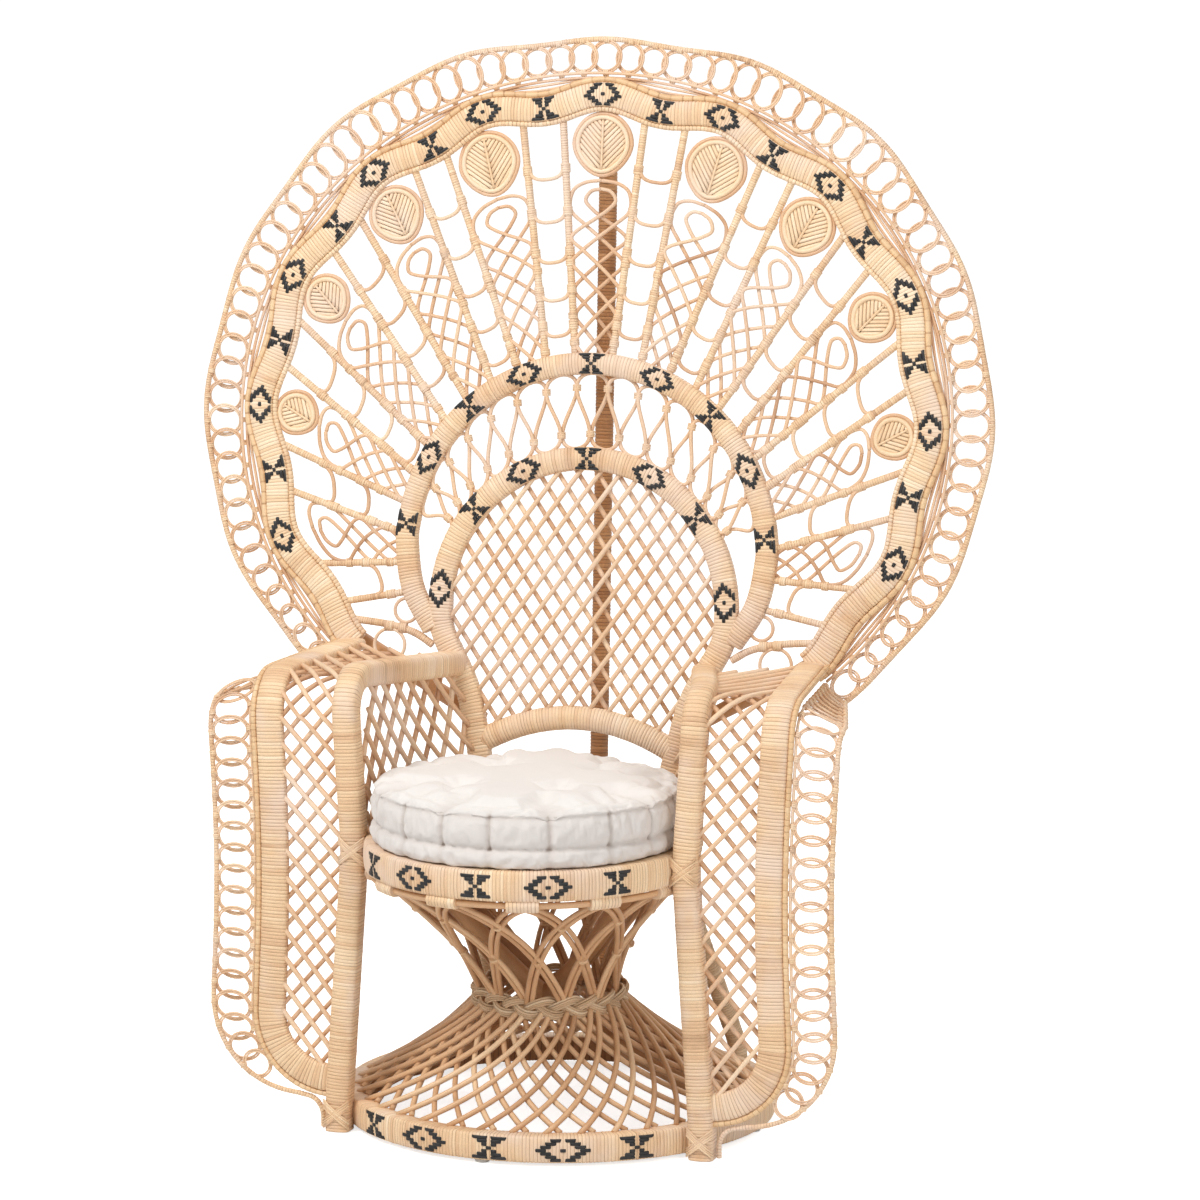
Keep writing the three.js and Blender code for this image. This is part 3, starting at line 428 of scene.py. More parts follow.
def wound(on, path, facing, section, pitch=4.7, sink=0.55, finish=WRAP, closed=False, marks=(), middle=0.5,
          cell=5.0):
    """Core wound with strips side by side. Marks are dyed motifs, each with its place along the path."""
    path = np.asarray(path, float)
    facing = np.broadcast_to(facing, path.shape)
    along = tangents(path, closed)
    if closed:
        path, facing, along = (np.vstack([rows, rows[:1]]) for rows in (path, facing, along))
    reach = reach_of(path)
    strips = max(2, round(reach[-1] / pitch))
    edges = np.linspace(0, reach[-1], strips + 1)
    edges[1:-1] += rng.uniform(-STRIP_SHIFT, STRIP_SHIFT, strips - 1) * pitch
    places = (edges[:-1, None] + np.diff(edges)[:, None] * STRIP_SHARES).reshape(-1)
    lift = rng.normal(0, STRIP_LIFT, strips)
    height = np.stack([np.full(strips, -sink), lift, lift + STRIP_CROWN, lift], 1).reshape(-1)
    # Painted shade in the groove before each strip, darker in some grooves than in others.
    deep = np.where(rng.random(strips) < FULLY_SHADED_GROOVES, 1.0, rng.uniform(FAINTEST_GROOVE_SHADE, 1.0, strips))
    groove_shade = np.outer(deep, [1.0, 0, 0, 0]).reshape(-1)
    shade = np.repeat(tones(strips, middle), 4)
    if not closed:
        places, height = np.append(places, edges[-1]), np.append(height, -sink)
        shade = np.append(shade, shade[-1])
        groove_shade = np.append(groove_shade, END_GROOVE_SHADE)
        groove_shade[0] = END_GROOVE_SHADE
    sections = section + outward(section) * height[:, None, None]
    rings = sweep(follow(path, reach, places), follow(facing, reach, places), sections, closed,
                  unit(follow(along, reach, places)))
    on.add(rings, finish, shade, groove_shade, closed)
    dyed(on, (path, along, facing), reach, section, marks, cell)


def binding(on, centre, along, facing, wide, deep, length, finish=WRAP, pitch=2.7, middle=0.55):
    """Short sleeve of strips lashed round canes that meet."""
    reach = unit(np.asarray(along, float)) * length / 2
    path = np.array([centre - reach, centre + reach])
    wound(on, path, facing, oval(wide, deep), pitch, sink=0.45, finish=finish, middle=middle)


# Dyed motifs: bars over the winding, each from a first to a last strip on one row, counted from the middle.
def both_ways(bars):
    return bars + [(-last, -first, row) for first, last, row in bars] + [(0, 0, 0)]


DIAMOND = both_ways([(4 - abs(row), 5 - abs(row), row) for row in range(-3, 4)])
CROSS = both_ways([(1, abs(row), row) for row in (-3, -2, -1, 1, 2, 3)])


# Fan back, a leaning plane with u aside, v up and w to the front. Turns are in degrees from the top.
LEAN = math.radians(8.4)
SIDE = np.array([1.0, 0, 0])
UP = np.array([0, math.sin(LEAN), math.cos(LEAN)])
FRONT = np.array([0, -math.cos(LEAN), math.sin(LEAN)])
base_low, base_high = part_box("base_ring")
# Middle of the base ring along y, from metres to millimetres.
SHIFT = 500 * (base_low.y + base_high.y)
FAN = np.array([0, 101 + SHIFT, 650])
HUB = 330
BAND_R, BAND_SWELL, BAND_WAVE, BAND_END = 451, 38, 8, 135
BUMPS_ROUND = 16
CHORD_GAP = 31
EDGE_GAP, EDGE_SWELL, EDGE_WAVE, EDGE_INSET = 55, 8, 3, 2.5
SHOULDER, SHOULDER_END, TUCK = 12, 75, 28
BORDER_END = 134.5
MIDDLE_V, MIDDLE_R, MIDDLE_WIDE = 140, 267, 31
INNER_V, INNER_R, INNER_WIDE = 60, 212, 33
INNER_LEG = [(207, 16), (168, -60), (149, -133), (130, -228)]
MIDDLE_LEG = [(255, 75), (222, 20)]
RAIL_HALF, RAIL_LOW, RAIL_BOW = 149, -141, 44
RING_CANE, RING_TILT = 1.55, 0.16
SIDES = {"left": -1, "right": 1}


def on_fan(spots, w=0.0):
    """Places of spots, given as u and v, on the fan or to the front of it."""
    spots = np.atleast_2d(np.asarray(spots, float))
    w = np.broadcast_to(w, len(spots))
    return FAN + spots[:, :1] * SIDE + spots[:, 1:] * UP + w[:, None] * FRONT


def around(turn, radius, centre):
    """Spots at a turn and a radius round a centre, given as v."""
    turn = np.radians(turn)
    return np.stack(np.broadcast_arrays(radius * np.sin(turn), centre + radius * np.cos(turn)), -1)


def fan_binding(on, spot, along, *sizes, **looks):
    """Binding round canes on the fan, at a spot and along a direction of u and v."""
    binding(on, on_fan(spot)[0], on_fan(along)[0] - FAN, FRONT, *sizes, **looks)


def swell(turn):
    """Growth of the fan from its top (0) to its sides (1)."""
    return np.sin(np.radians(turn)) ** 2


def wave(turn):
    """Wave of the band: 1 on its bumps and -1 in its valleys."""
    return np.cos(np.radians(BUMPS_ROUND * np.asarray(turn, float)))


def band_radius(turn):
    """Radius of the middle of the wavy band."""
    return BAND_R + BAND_SWELL * swell(turn) + BAND_WAVE * wave(turn)


def chord_radius(turn):
    """Radius of the even line over the bumps, on which the ring border stands."""
    return BAND_R + BAND_SWELL * swell(turn) + CHORD_GAP


def edge_radius(turn):
    """Radius of the outer edge of the ring border."""
    turn = np.asarray(turn, float)
    shoulder = np.where(np.abs(turn) < SHOULDER_END, np.sin(np.radians(turn * 180 / SHOULDER_END)) ** 2, 0)
    tuck = np.minimum(0, np.cos(np.radians(turn))) ** 2
    return (chord_radius(turn) + EDGE_GAP + EDGE_SWELL * swell(turn) + EDGE_WAVE * wave(turn)
            + SHOULDER * shoulder - TUCK * tuck)


def ring_chain(on, inner, outer, normal, pitch, width):
    """Interlocked rings between two lines, each of a cane that goes round twice and bound to both lines."""
    reach = reach_of((inner + outer) / 2)
    count = round(reach[-1] / pitch)
    places = (np.arange(count) + 0.5) * reach[-1] / count
    turn = full_turn(26)
    for low, high, face in zip(*(follow(rows, reach, places) for rows in (inner, outer, normal))):
        centre = (low + high) / 2 + face * rng.normal(0, 0.5)
        radial = (high - low) / 2
        half = np.linalg.norm(radial)
        radial = radial / half
        aside = unit(np.cross(radial, face))
        leaning = aside * math.cos(RING_TILT) + face * math.sin(RING_TILT)
        wide = width * rng.normal(0.5, 0.013)
        tone = rng.normal(0.55, 0.13)
        for inset in (0, 2 * RING_CANE):
            ring = (centre + np.outer((half - 0.5 - inset) * np.cos(turn), radial)
                    + np.outer((wide - inset) * np.sin(turn), leaning))
            tube(on, ring, np.cross(radial, leaning), RING_CANE, tone=tone + rng.normal(0, 0.05), closed=True)
        for spot in (low, high):
            binding(on, spot + face * 0.4, aside, face, 5.0, 4.6, 7.5)


# Wavy band, with a diamond on each bump, a cross in each valley, and piping along both edges.
band_turns = np.linspace(-BAND_END, BAND_END, 1081)
band_path = on_fan(around(band_turns, band_radius(band_turns), HUB))
band_reach = reach_of(band_path)
band_motifs = [(bump, DIAMOND) for bump in range(-5, 6)] + [(bump + 0.5, CROSS) for bump in range(-5, 5)]
band_marks = [(np.interp(360 / BUMPS_ROUND * bump, band_turns, band_reach), motif)
              for bump, motif in band_motifs]
band = work("wavy_band")
wound(band, band_path, FRONT, band_section(34, 20, 3, 7, 2.5), pitch=4.8, marks=band_marks, middle=0.62)
inward = np.cross(tangents(band_path), FRONT)
outer_piping, inner_piping = (band_path + inward * aside + FRONT * 4 for aside in (-21.2, 20.6))
wound(band, outer_piping, FRONT, oval(4.4, 4.8), pitch=17, sink=0.25, finish=GOLD)
wound(band, inner_piping, FRONT, oval(4.0, 4.6), pitch=5.6, sink=0.5, middle=0.72)


# Middle arch, inner arch and the rail between the legs of the inner arch.
def arch(centre, radius, legs):
    """Round arch with legs through given places on both sides."""
    right = np.array(legs, float)
    top = around(np.linspace(-90, 90, 25), radius, centre)
    return curve(np.vstack([right[::-1] * [-1, 1], top, right]), 10)


def arch_marks(path, centre, radius, places):
    """Motifs on both sides of an arch, each at the point of its path nearest to a turn."""
    reach = reach_of(path)
    found = []
    for turn, motif in places:
        for side in ((1, -1) if turn else (1,)):
            spot = around(side * turn, radius, centre)
            found.append((reach[np.argmin(np.linalg.norm(path - spot, axis=1))], motif))
    return found


inner_arch = arch(INNER_V, INNER_R, INNER_LEG)
middle_arch = arch(MIDDLE_V, MIDDLE_R, MIDDLE_LEG)
rail_share = np.linspace(-1, 1, 60)
rail = np.stack([RAIL_HALF * rail_share, RAIL_LOW + RAIL_BOW * (1 - rail_share ** 2)], 1)
inner_marks = arch_marks(inner_arch, INNER_V, INNER_R,
                         [(0, CROSS), (26, DIAMOND), (51, CROSS), (85, DIAMOND)])
middle_marks = arch_marks(middle_arch, MIDDLE_V, MIDDLE_R,
                          [(0, CROSS), (21.5, DIAMOND), (41.7, CROSS), (62, DIAMOND), (84, CROSS)])
for name, path, wide, marks in (("inner_arch", inner_arch, INNER_WIDE, inner_marks),
                                ("middle_arch", middle_arch, MIDDLE_WIDE, middle_marks)):
    wound(work(name), on_fan(path), FRONT, band_section(wide, 21, 4, 7, 3), marks=marks)
wound(work("back_rail"), on_fan(rail), FRONT, band_section(34, 21, 9, 3, 2))

# Ring border round the fan: its edge cane, four thin canes along the band, and the rings.
border = work("fan_border")
border_turns = np.linspace(-BORDER_END, BORDER_END, 801)
border_low = chord_radius(border_turns)
chord = on_fan(around(border_turns, border_low - 1, HUB))
edge = on_fan(around(border_turns, edge_radius(border_turns) - EDGE_INSET, HUB))
over = unit(edge - chord)
wound(border, edge, FRONT, oval(3.9, 3.9, 7), pitch=3.6, sink=0.4)
for aside in (0.5, 7.0):
    line = on_fan(around(border_turns, border_low + aside, HUB), 0.6 * aside)
    tube(border, line[::4], FRONT, 2.3)
for aside, bend in ((-6.5, 5), (-2.5, 2.5)):
    line = around(border_turns, border_low + aside + bend * wave(border_turns), HUB)
    tube(border, on_fan(line, -2)[::4], FRONT, 2.1)
ring_chain(border, chord + 8.5 * over, edge - 1.5 * over, np.broadcast_to(FRONT, edge.shape), 34.5, 45)

# Ribs in pairs, with hanging swags between the two of a pair.
RIB_TURNS = [8.2, 16.2, 32.5, 39.1, 53, 60.6, 74.6, 83, 97, 105.4, 119.6, 128]
RIB_FOOT, RIB_STEP = 5.7, 9
RIB_TOP_GAP, RIB_FOOT_LAP, RIB_HALF = 21, 3, 5.3
SWAG_FIRST, SWAG_STEP, SWAG_CLOSEST, SWAG_CLOSING, SWAG_END = 69, 61, 44, 0.94, 24
SWAG_DROP = 16


def rib_line(number, side):
    """Ends of a rib: on the band, and on the middle arch."""
    turn = RIB_TURNS[number]
    outer = around(turn, band_radius(turn) - RIB_TOP_GAP, HUB)
    inner = around(RIB_FOOT + RIB_STEP * number, MIDDLE_R + MIDDLE_WIDE / 2 - RIB_FOOT_LAP, MIDDLE_V)
    return np.array([outer, inner]) * [side, 1]


def on_ribs(first, second, along, across):
    """Place between two ribs: along them as a share, and across from the first (-1) to the second (1)."""
    along = np.asarray(along, float)[:, None]
    across = np.asarray(across, float)[:, None]
    start = first[0] * (1 - along) + first[1] * along
    end = second[0] * (1 - along) + second[1] * along
    return (start + end) / 2 + (end - start) / 2 * across


def rib_bound(on, line, place, length=13):
    """Binding round a rib at a distance from its outer end."""
    along = unit(line[1] - line[0])
    fan_binding(on, line[0] + along * place, along, 6.9, 6.6, length, pitch=3.4)


swag_steps = np.linspace(0, math.pi, 19)
swag_across = -np.sign(np.cos(swag_steps)) * np.abs(np.cos(swag_steps)) ** 0.75
swag_hang = np.sin(swag_steps) ** 0.8
for side_name, side in SIDES.items():
    for pair in range(6):
        piece = work(f"swag_ribs_{side_name}_{pair + 1}")
        first, second = rib_line(2 * pair, side), rib_line(2 * pair + 1, side)
        long = np.linalg.norm(first[1] - first[0])
        for line in (first, second):
            path = on_fan(np.linspace(*line, 8))
            wound(piece, path, FRONT, oval(RIB_HALF, RIB_HALF), pitch=3.7, sink=0.4, middle=0.6)
        place = SWAG_FIRST
        step = SWAG_STEP
        while place < long - SWAG_END:
            share = (place - 3 + SWAG_DROP * swag_hang) / long
            spots = on_ribs(first, second, share, swag_across * 0.87)
            tube(piece, on_fan(spots, 1.5), FRONT, 2.9)
            for line in (first, second):
                rib_bound(piece, line, place - 1)
            place += step
            step = max(SWAG_CLOSEST, step * SWAG_CLOSING)

# Leaf medallions under the bumps, each over a strip of crossing loops. The last bump has loops only.
LEAF_HALVES = [47, 48, 44, 38, 35, 0]
LEAF_BAND_GAP, LEAF_RIB_GAP = 23.4, 5.4
LEAF_RIM, LEAF_PITCH, LEAF_UP, LEAF_ASIDE = 11, 5.4, 0.72, 0.69
LOOP_REPEAT, LOOP_WIDE = 75, 36
LOOP_CROSSING = [(0.25, -0.52), (0.5, 0), (0.75, 0.52), (1, 0.92)]
LOOPS = [
    (1.0, [(3, 0), (7, 0.48), (20, 0.84), (46, 0.92)]),
    (-1.0, [(15, 0), (19, 0.3), (32, 0.46), (45, 0.24), (57, -0.1), (84, -0.9)]),
]


def medallion_at(ribs, half_long):
    """Middle, half width and outward direction of a medallion under the band, between two ribs."""
    axis = (ribs[0] + ribs[1]) / 2
    out = unit(axis[0] - axis[1])
    line = axis[0] + np.outer(np.linspace(-30, 40, 141), out)
    far = np.hypot(line[:, 0], line[:, 1] - HUB)
    turn = np.degrees(np.arctan2(line[:, 0], line[:, 1] - HUB))
    centre = line[far < band_radius(turn) - LEAF_BAND_GAP][-1] - out * half_long
    room = []
    for outer, inner in ribs:
        along = unit(inner - outer)
        offset = centre - outer
        room.append(abs(offset[0] * along[1] - offset[1] * along[0]) - LEAF_RIB_GAP)
    return centre, min(0.97 * half_long, *room), out


def leaf(on, centre, half_wide, half_long, out):
    """Egg-shaped medallion: two canes round a plaited leaf."""
    aside = np.array([out[1], -out[0]])
    angle = full_turn(40)

    def taper(up):
        return 1 - 0.2 * np.clip(-up, 0, 1) ** 1.3

    def egg(inset):
        up = np.cos(angle)
        return (centre + np.outer((half_wide - inset) * np.sin(angle) * taper(up), aside)
                + np.outer((half_long - inset) * up, out))

    tube(on, on_fan(egg(2.9), 0.5), FRONT, 3.0, 8, CANE, tone=0.3, closed=True)
    tube(on, on_fan(egg(8.6), 2.6), FRONT, 3.4, 8, WRAP, tone=0.8, closed=True)
    rim = egg(LEAF_RIM) - centre
    plate = np.stack([on_fan(centre + rim * reach, height)
                      for reach, height in ((1, -3.5), (1, 0.5), (0.6, 2), (0.1, 2.6))])
    # Plate between the two layers of the leaf: a dark cane tone with some of the groove colour, painted shade where
    # the plaiting is open.
    on.add(plate[::-1], CANE, 0.3, 0.3)
    wide, long = half_wide - LEAF_RIM, half_long - LEAF_RIM
    spine = centre + np.outer(np.linspace(-0.99, 0.96, 9) * long, out)
    for height in (4.0, -5.0):
        tube(on, on_fan(spine, height), FRONT, 1.9, finish=WRAP, tone=0.62)
    dome = 3.3 - 1.6 * np.linspace(0, 1, 5) ** 2
    for hand in (-1, 1):
        lean = unit(out * LEAF_UP + hand * aside * LEAF_ASIDE)
        start = -1.4 * long
        while start < long:
            foot = centre + out * start + hand * aside * 1.2
            spots = foot + np.outer(np.linspace(0, 2 * long, 60), lean)
            local = spots - centre
            across, up = local @ aside, local @ out
            fits = (across / taper(up / long) / wide) ** 2 + (up / long) ** 2 < 1.04
            if fits.sum() > 2:
                run = resampled(spots[fits], 5)
                for height in (dome, -dome - 1):
                    tone = rng.normal(0.78, 0.1)
                    tube(on, on_fan(run, height), FRONT, LEAF_PITCH * 0.49, finish=WRAP, tone=tone, flat=0.5)
            start += LEAF_PITCH / LEAF_ASIDE


def loop_strip(on, first, second, start):
    """Two nested loops whose ends cross from rib to rib down to the middle arch."""
    long = np.linalg.norm((first[1] + second[1] - first[0] - second[0]) / 2)
    rib_spot, axis_spot = (on_ribs(first, second, [start / long], [across])[0] for across in (1, 0))
    scale = min(1.0, np.linalg.norm(rib_spot - axis_spot) / LOOP_WIDE)
    half = LOOP_REPEAT * scale
    end = long - start + 4
    for hand, knots in LOOPS:
        rows = [(place * scale, across) for place, across in knots]
        place = rows[-1][0]
        while place < end:
            hand = -hand
            rows += [(place + half * share, hand * across) for share, across in LOOP_CROSSING]
            place += half
        rows = np.array(rows)
        line = curve(rows, 6)
        line = line[line[:, 0] < end]
        for mirror in (1, -1):
            spots = on_ribs(first, second, (start + line[:, 0]) / long, mirror * line[:, 1])
            depth = mirror * np.clip(line[:, 0] / 20 - 0.2, 0, 1) * 2.3
            tube(on, on_fan(spots, depth), FRONT, 2.8)
        for stop, across in rows:
            if abs(across) > 0.9 and stop < end - 12:
                for rib in (first, second):
                    rib_bound(on, rib, (start + stop) / long * np.linalg.norm(rib[1] - rib[0]), 9)


for bump, half_long in enumerate(LEAF_HALVES):
    for side_name, side in SIDES.items():
        if bump == 0 and side < 0:
            continue
        ribs = [rib_line(0, -1) if bump == 0 else rib_line(2 * bump - 1, side), rib_line(2 * bump, side)]
        piece = work("leaf_loops_middle" if bump == 0 else f"leaf_loops_{side_name}_{bump}")
        start = 6.0
        if half_long:
            centre, half_wide, out = medallion_at(ribs, half_long)
            leaf(piece, centre, half_wide, half_long, out)
            start = float((ribs[0][0] + ribs[1][0]) @ out / 2 - centre @ out) + half_long + 1
        loop_strip(piece, *ribs, start)

# Teardrop chain between the two arches.
DROPS, DROPS_END = 15, 80


def drop_ends(share, lap):
    """Spots that face each other on the inner and middle arches, by the share from left to right."""
    turn = -DROPS_END + 2 * DROPS_END * share
    facing = turn * (1 - 0.17 * (turn / 71) ** 2)
    return (around(facing, INNER_R + INNER_WIDE / 2 - lap, INNER_V),
            around(turn, MIDDLE_R - MIDDLE_WIDE / 2 + lap, MIDDLE_V))


drops = work("teardrop_chain")
theta = np.linspace(0, 2 * math.pi * DROPS, 40 * DROPS)
low, high = drop_ends((theta / (2 * math.pi) + 0.36 * np.sin(2 * theta)) / DROPS, 2)
rise = ((1 + np.cos(theta)) / 2)[:, None]
chain = low + (high - low) * (1 - rise)
tube(drops, on_fan(chain, 2.8 * np.sin(theta)), FRONT, 2.9)
for drop in range(1, 2 * DROPS):
    low, high = drop_ends(drop / (2 * DROPS), 0)
    height = 0.18 if drop % 2 else 0.82
    fan_binding(drops, low + (high - low) * height, high - low, 6.2, 4.8, 9.5)

# Open lattice inside the inner arch, in two layers of canes.
BACK_STEP, BACK_RISE, BACK_DEPTH = 30, 42, 3.0


def inside_of(outline, spots):
    """Which spots are inside a closed outline."""
    start, end = outline, np.roll(outline, -1, 0)
    x, y = spots[:, :1], spots[:, 1:]
    crosses = (start[:, 1] > y) != (end[:, 1] > y)
    rise = np.where(end[:, 1] == start[:, 1], 1, end[:, 1] - start[:, 1])
    at = start[:, 0] + (y - start[:, 1]) / rise * (end[:, 0] - start[:, 0])
    return (np.sum(crosses & (x < at), axis=1) % 2).astype(bool)


back_outline = np.vstack([inner_arch[inner_arch[:, 1] > RAIL_LOW], rail[::-1]])
run = np.linspace(-330, 330, 331)
for hand in (1, -1):
    for count in range(-24, 25):
        spots = np.stack([BACK_STEP * count + hand * run * BACK_STEP / BACK_RISE, INNER_V + run], 1)
        fits = inside_of(back_outline, spots)
        if fits.sum() > 6:
            line = np.linspace(*spots[fits][[0, -1]], 7)
            depth = hand * BACK_DEPTH + rng.normal(0, 0.5, 7)
            # Painted light and shade: canes of the front layer get a lighter tone, those of the back layer a darker
            # one.
            tube(work("back_lattice"), on_fan(line, depth), FRONT, rng.normal(3.5, 0.1),
                 tone=rng.normal(0.5 + 0.1 * hand, 0.13))

# Low side fills: a bowed wound rib, a small ring over it and a large one under it.
for side_name, side in SIDES.items():
    piece = work(f"side_fill_{side_name}")
    rib = curve(np.array([(352, 28), (289, 22), (250, 12), (222, -4)]) * [side, 1], 8)
    wound(piece, on_fan(rib), FRONT, oval(5.6, 5.4), pitch=3.4, sink=0.45)
    turn = np.linspace(0, 360, 30, endpoint=False)
    for u, v, radius in ((264, 43.5, 17), (287, -7, 23)):
        tube(piece, on_fan(np.array([side * u, v]) + around(turn, radius, 0), 1), FRONT, 2.6, 7, closed=True)
    for u, v, *sizes in ((289, 20, 8.2, 7.4, 12), (268, 18, 8.2, 7.4, 12), (287, -30, 5.4, 5.0, 14)):
        fan_binding(piece, (side * u, v), (1, 0), *sizes)

# Centre pole and rear braces, behind the fan.
BEHIND = -23.3
POLE_TOP = on_fan([0, HUB + band_radius(0) - 19], BEHIND)[0]
POLE_BEND, POLE_CORNER, POLE_FOOT = np.array([(0, 188, 440), (0, 176, 215), (0, 292, 42)]) + [0, SHIFT, 0]
turning = np.linspace(0, 1, 24)[:, None]
pole_bow = ((1 - turning) ** 2 * POLE_BEND + 2 * turning * (1 - turning) * POLE_CORNER
            + turning ** 2 * POLE_FOOT)
pole = np.vstack([np.linspace(POLE_TOP, POLE_BEND, 40, endpoint=False), pole_bow])
wound(work("centre_pole"), pole, SIDE, oval(13, 13, 12), pitch=5.0, sink=0.7, finish=POLE)
for side_name, side in SIDES.items():
    brace = np.linspace([RAIL_HALF * side, -108], around(134 * side, 476, HUB), 20)
    tube(work(f"rear_brace_{side_name}"), on_fan(brace, BEHIND), FRONT, 11.8, 12, POLE, tone=0.5)

# Arms: each has a post, an outer band and a rim. They rise at the front and run back to the fan.
SEAT_R, SEAT_Y, SEAT_Z = 218, -139 + SHIFT, 404
ARM_Y, ARM_TOP, ARM_WAIST = -189 + SHIFT, 642, 7
POST_X, POST_BEND = 252, 48
POST_FOOT_X, POST_SEAT_X = 265, 240
BAND_X, BAND_LOW, BAND_CORNER, BAND_BEND = 363, 76, 86, 58
RIM_X, RIM_LOW, RIM_CORNER, RIM_BEND, RIM_DROP = 453, 49, 128, 40, 35
JOIN_V = -28
CORNER_STEPS, UPRIGHT_STEPS, BEND_STEPS, RUN_STEPS = 24, 50, 18, 30
RING_START = 9
NET_RISE, NET_STEP, NET_DEPTH = 38, 33, 3.2


def at_front(x, z):
    return np.stack([x, 0 * z + ARM_Y, z], 1)


def arm_top(x, top, bend, end):
    """Bend over the front of an arm and the run from there to an end."""
    turn = np.radians(np.linspace(0, 90, BEND_STEPS, endpoint=False))
    over = np.stack([0 * turn + x, ARM_Y + bend - bend * np.cos(turn), top - bend + bend * np.sin(turn)], 1)
    return np.vstack([over, np.linspace([x, ARM_Y + bend, top], end, RUN_STEPS)])


def arm_line(x, low, corner, top, bend, end):
    """Line of the outer band or the rim of an arm, from its low corner up and back to an end."""
    turn = np.radians(np.linspace(90, 0, CORNER_STEPS, endpoint=False))
    start = at_front(x - corner + corner * np.cos(turn), low + corner - corner * np.sin(turn))
    share = np.linspace(0, 1, UPRIGHT_STEPS, endpoint=False)
    upright = at_front(x - ARM_WAIST * np.sin(math.pi * share),
                       low + corner + (top - bend - low - corner) * share)
    return relaxed(np.vstack([start, upright, arm_top(x, top, bend, end)]), 8)


def arm_facing(flat_steps):
    """Direction that an arm faces: to the front, then round the bend, then up."""
    turn = np.concatenate([np.zeros(flat_steps), np.linspace(0, 90, BEND_STEPS), np.full(RUN_STEPS, 90)])
    turn = np.radians(turn)
    return np.stack([0 * turn, -np.cos(turn), np.sin(turn)], 1)


band_tail = around(BAND_END, band_radius(BAND_END), HUB)
border_tail = around(BORDER_END, edge_radius(BORDER_END) - EDGE_INSET, HUB)
leg_top, leg_knee = np.array(INNER_LEG[:2], float)
join_share = (leg_top[1] - JOIN_V) / (leg_top[1] - leg_knee[1])
post_tail = (leg_top[0] + join_share * (leg_knee[0] - leg_top[0]), JOIN_V)
band_line = arm_line(BAND_X, BAND_LOW, BAND_CORNER, ARM_TOP, BAND_BEND, on_fan(band_tail, 6)[0])
edge_line = arm_line(RIM_X, RIM_LOW, RIM_CORNER, ARM_TOP - RIM_DROP, RIM_BEND, on_fan(border_tail, 4)[0])
post_knots = [[POST_FOOT_X, ARM_Y, 0.5], [POST_FOOT_X, ARM_Y, 40], [POST_SEAT_X, ARM_Y, SEAT_Z],
              [POST_X, ARM_Y, ARM_TOP - POST_BEND]]
post_front = np.vstack([np.linspace(*ends, steps, endpoint=False)
                        for *ends, steps in zip(post_knots, post_knots[1:], (8, 40, 24))])
post_top = arm_top(POST_X, ARM_TOP, POST_BEND, on_fan(post_tail, 4)[0])
post_line = relaxed(np.vstack([post_front, post_top]), 8)
post_facing = arm_facing(len(post_front))
band_facing = arm_facing(CORNER_STEPS + UPRIGHT_STEPS)

# The open side of each arm: both edges of its lattice, in step, by height and then by depth.
level = np.linspace(58, ARM_TOP - POST_BEND, 160, endpoint=False)
corner_top = BAND_LOW + BAND_CORNER
post_x = np.interp(level, post_front[:, 2], post_front[:, 0])
upright_share = np.clip((level - corner_top) / (ARM_TOP - BAND_BEND - corner_top), 0, 1)
band_x = BAND_X - ARM_WAIST * np.sin(math.pi * upright_share)
post_side, band_side = (
    np.vstack([at_front(front_x, level), arm_top(top_x, ARM_TOP, bend, on_fan(tail, 14)[0])])
    for front_x, top_x, bend, tail in ((post_x, POST_X, POST_BEND, post_tail),
                                       (band_x, BAND_X, BAND_BEND, band_tail)))
corner_drop = np.clip(corner_top - level, 0, BAND_CORNER)
corner_x = BAND_X - BAND_CORNER + np.sqrt(BAND_CORNER ** 2 - corner_drop ** 2)
corner_limit = np.clip((corner_x - post_x) / (BAND_X - post_x), 0.05, 1)
net_reach = reach_of((post_side + band_side) / 2)
run = np.arange(0, net_reach[-1], 5)
net_lines = (post_side, band_side, arm_facing(len(level)))
first, second, facing = (follow(rows, net_reach, run) for rows in net_lines)
limit = np.interp(run, net_reach, np.concatenate([corner_limit, np.ones(BEND_STEPS + RUN_STEPS)]))

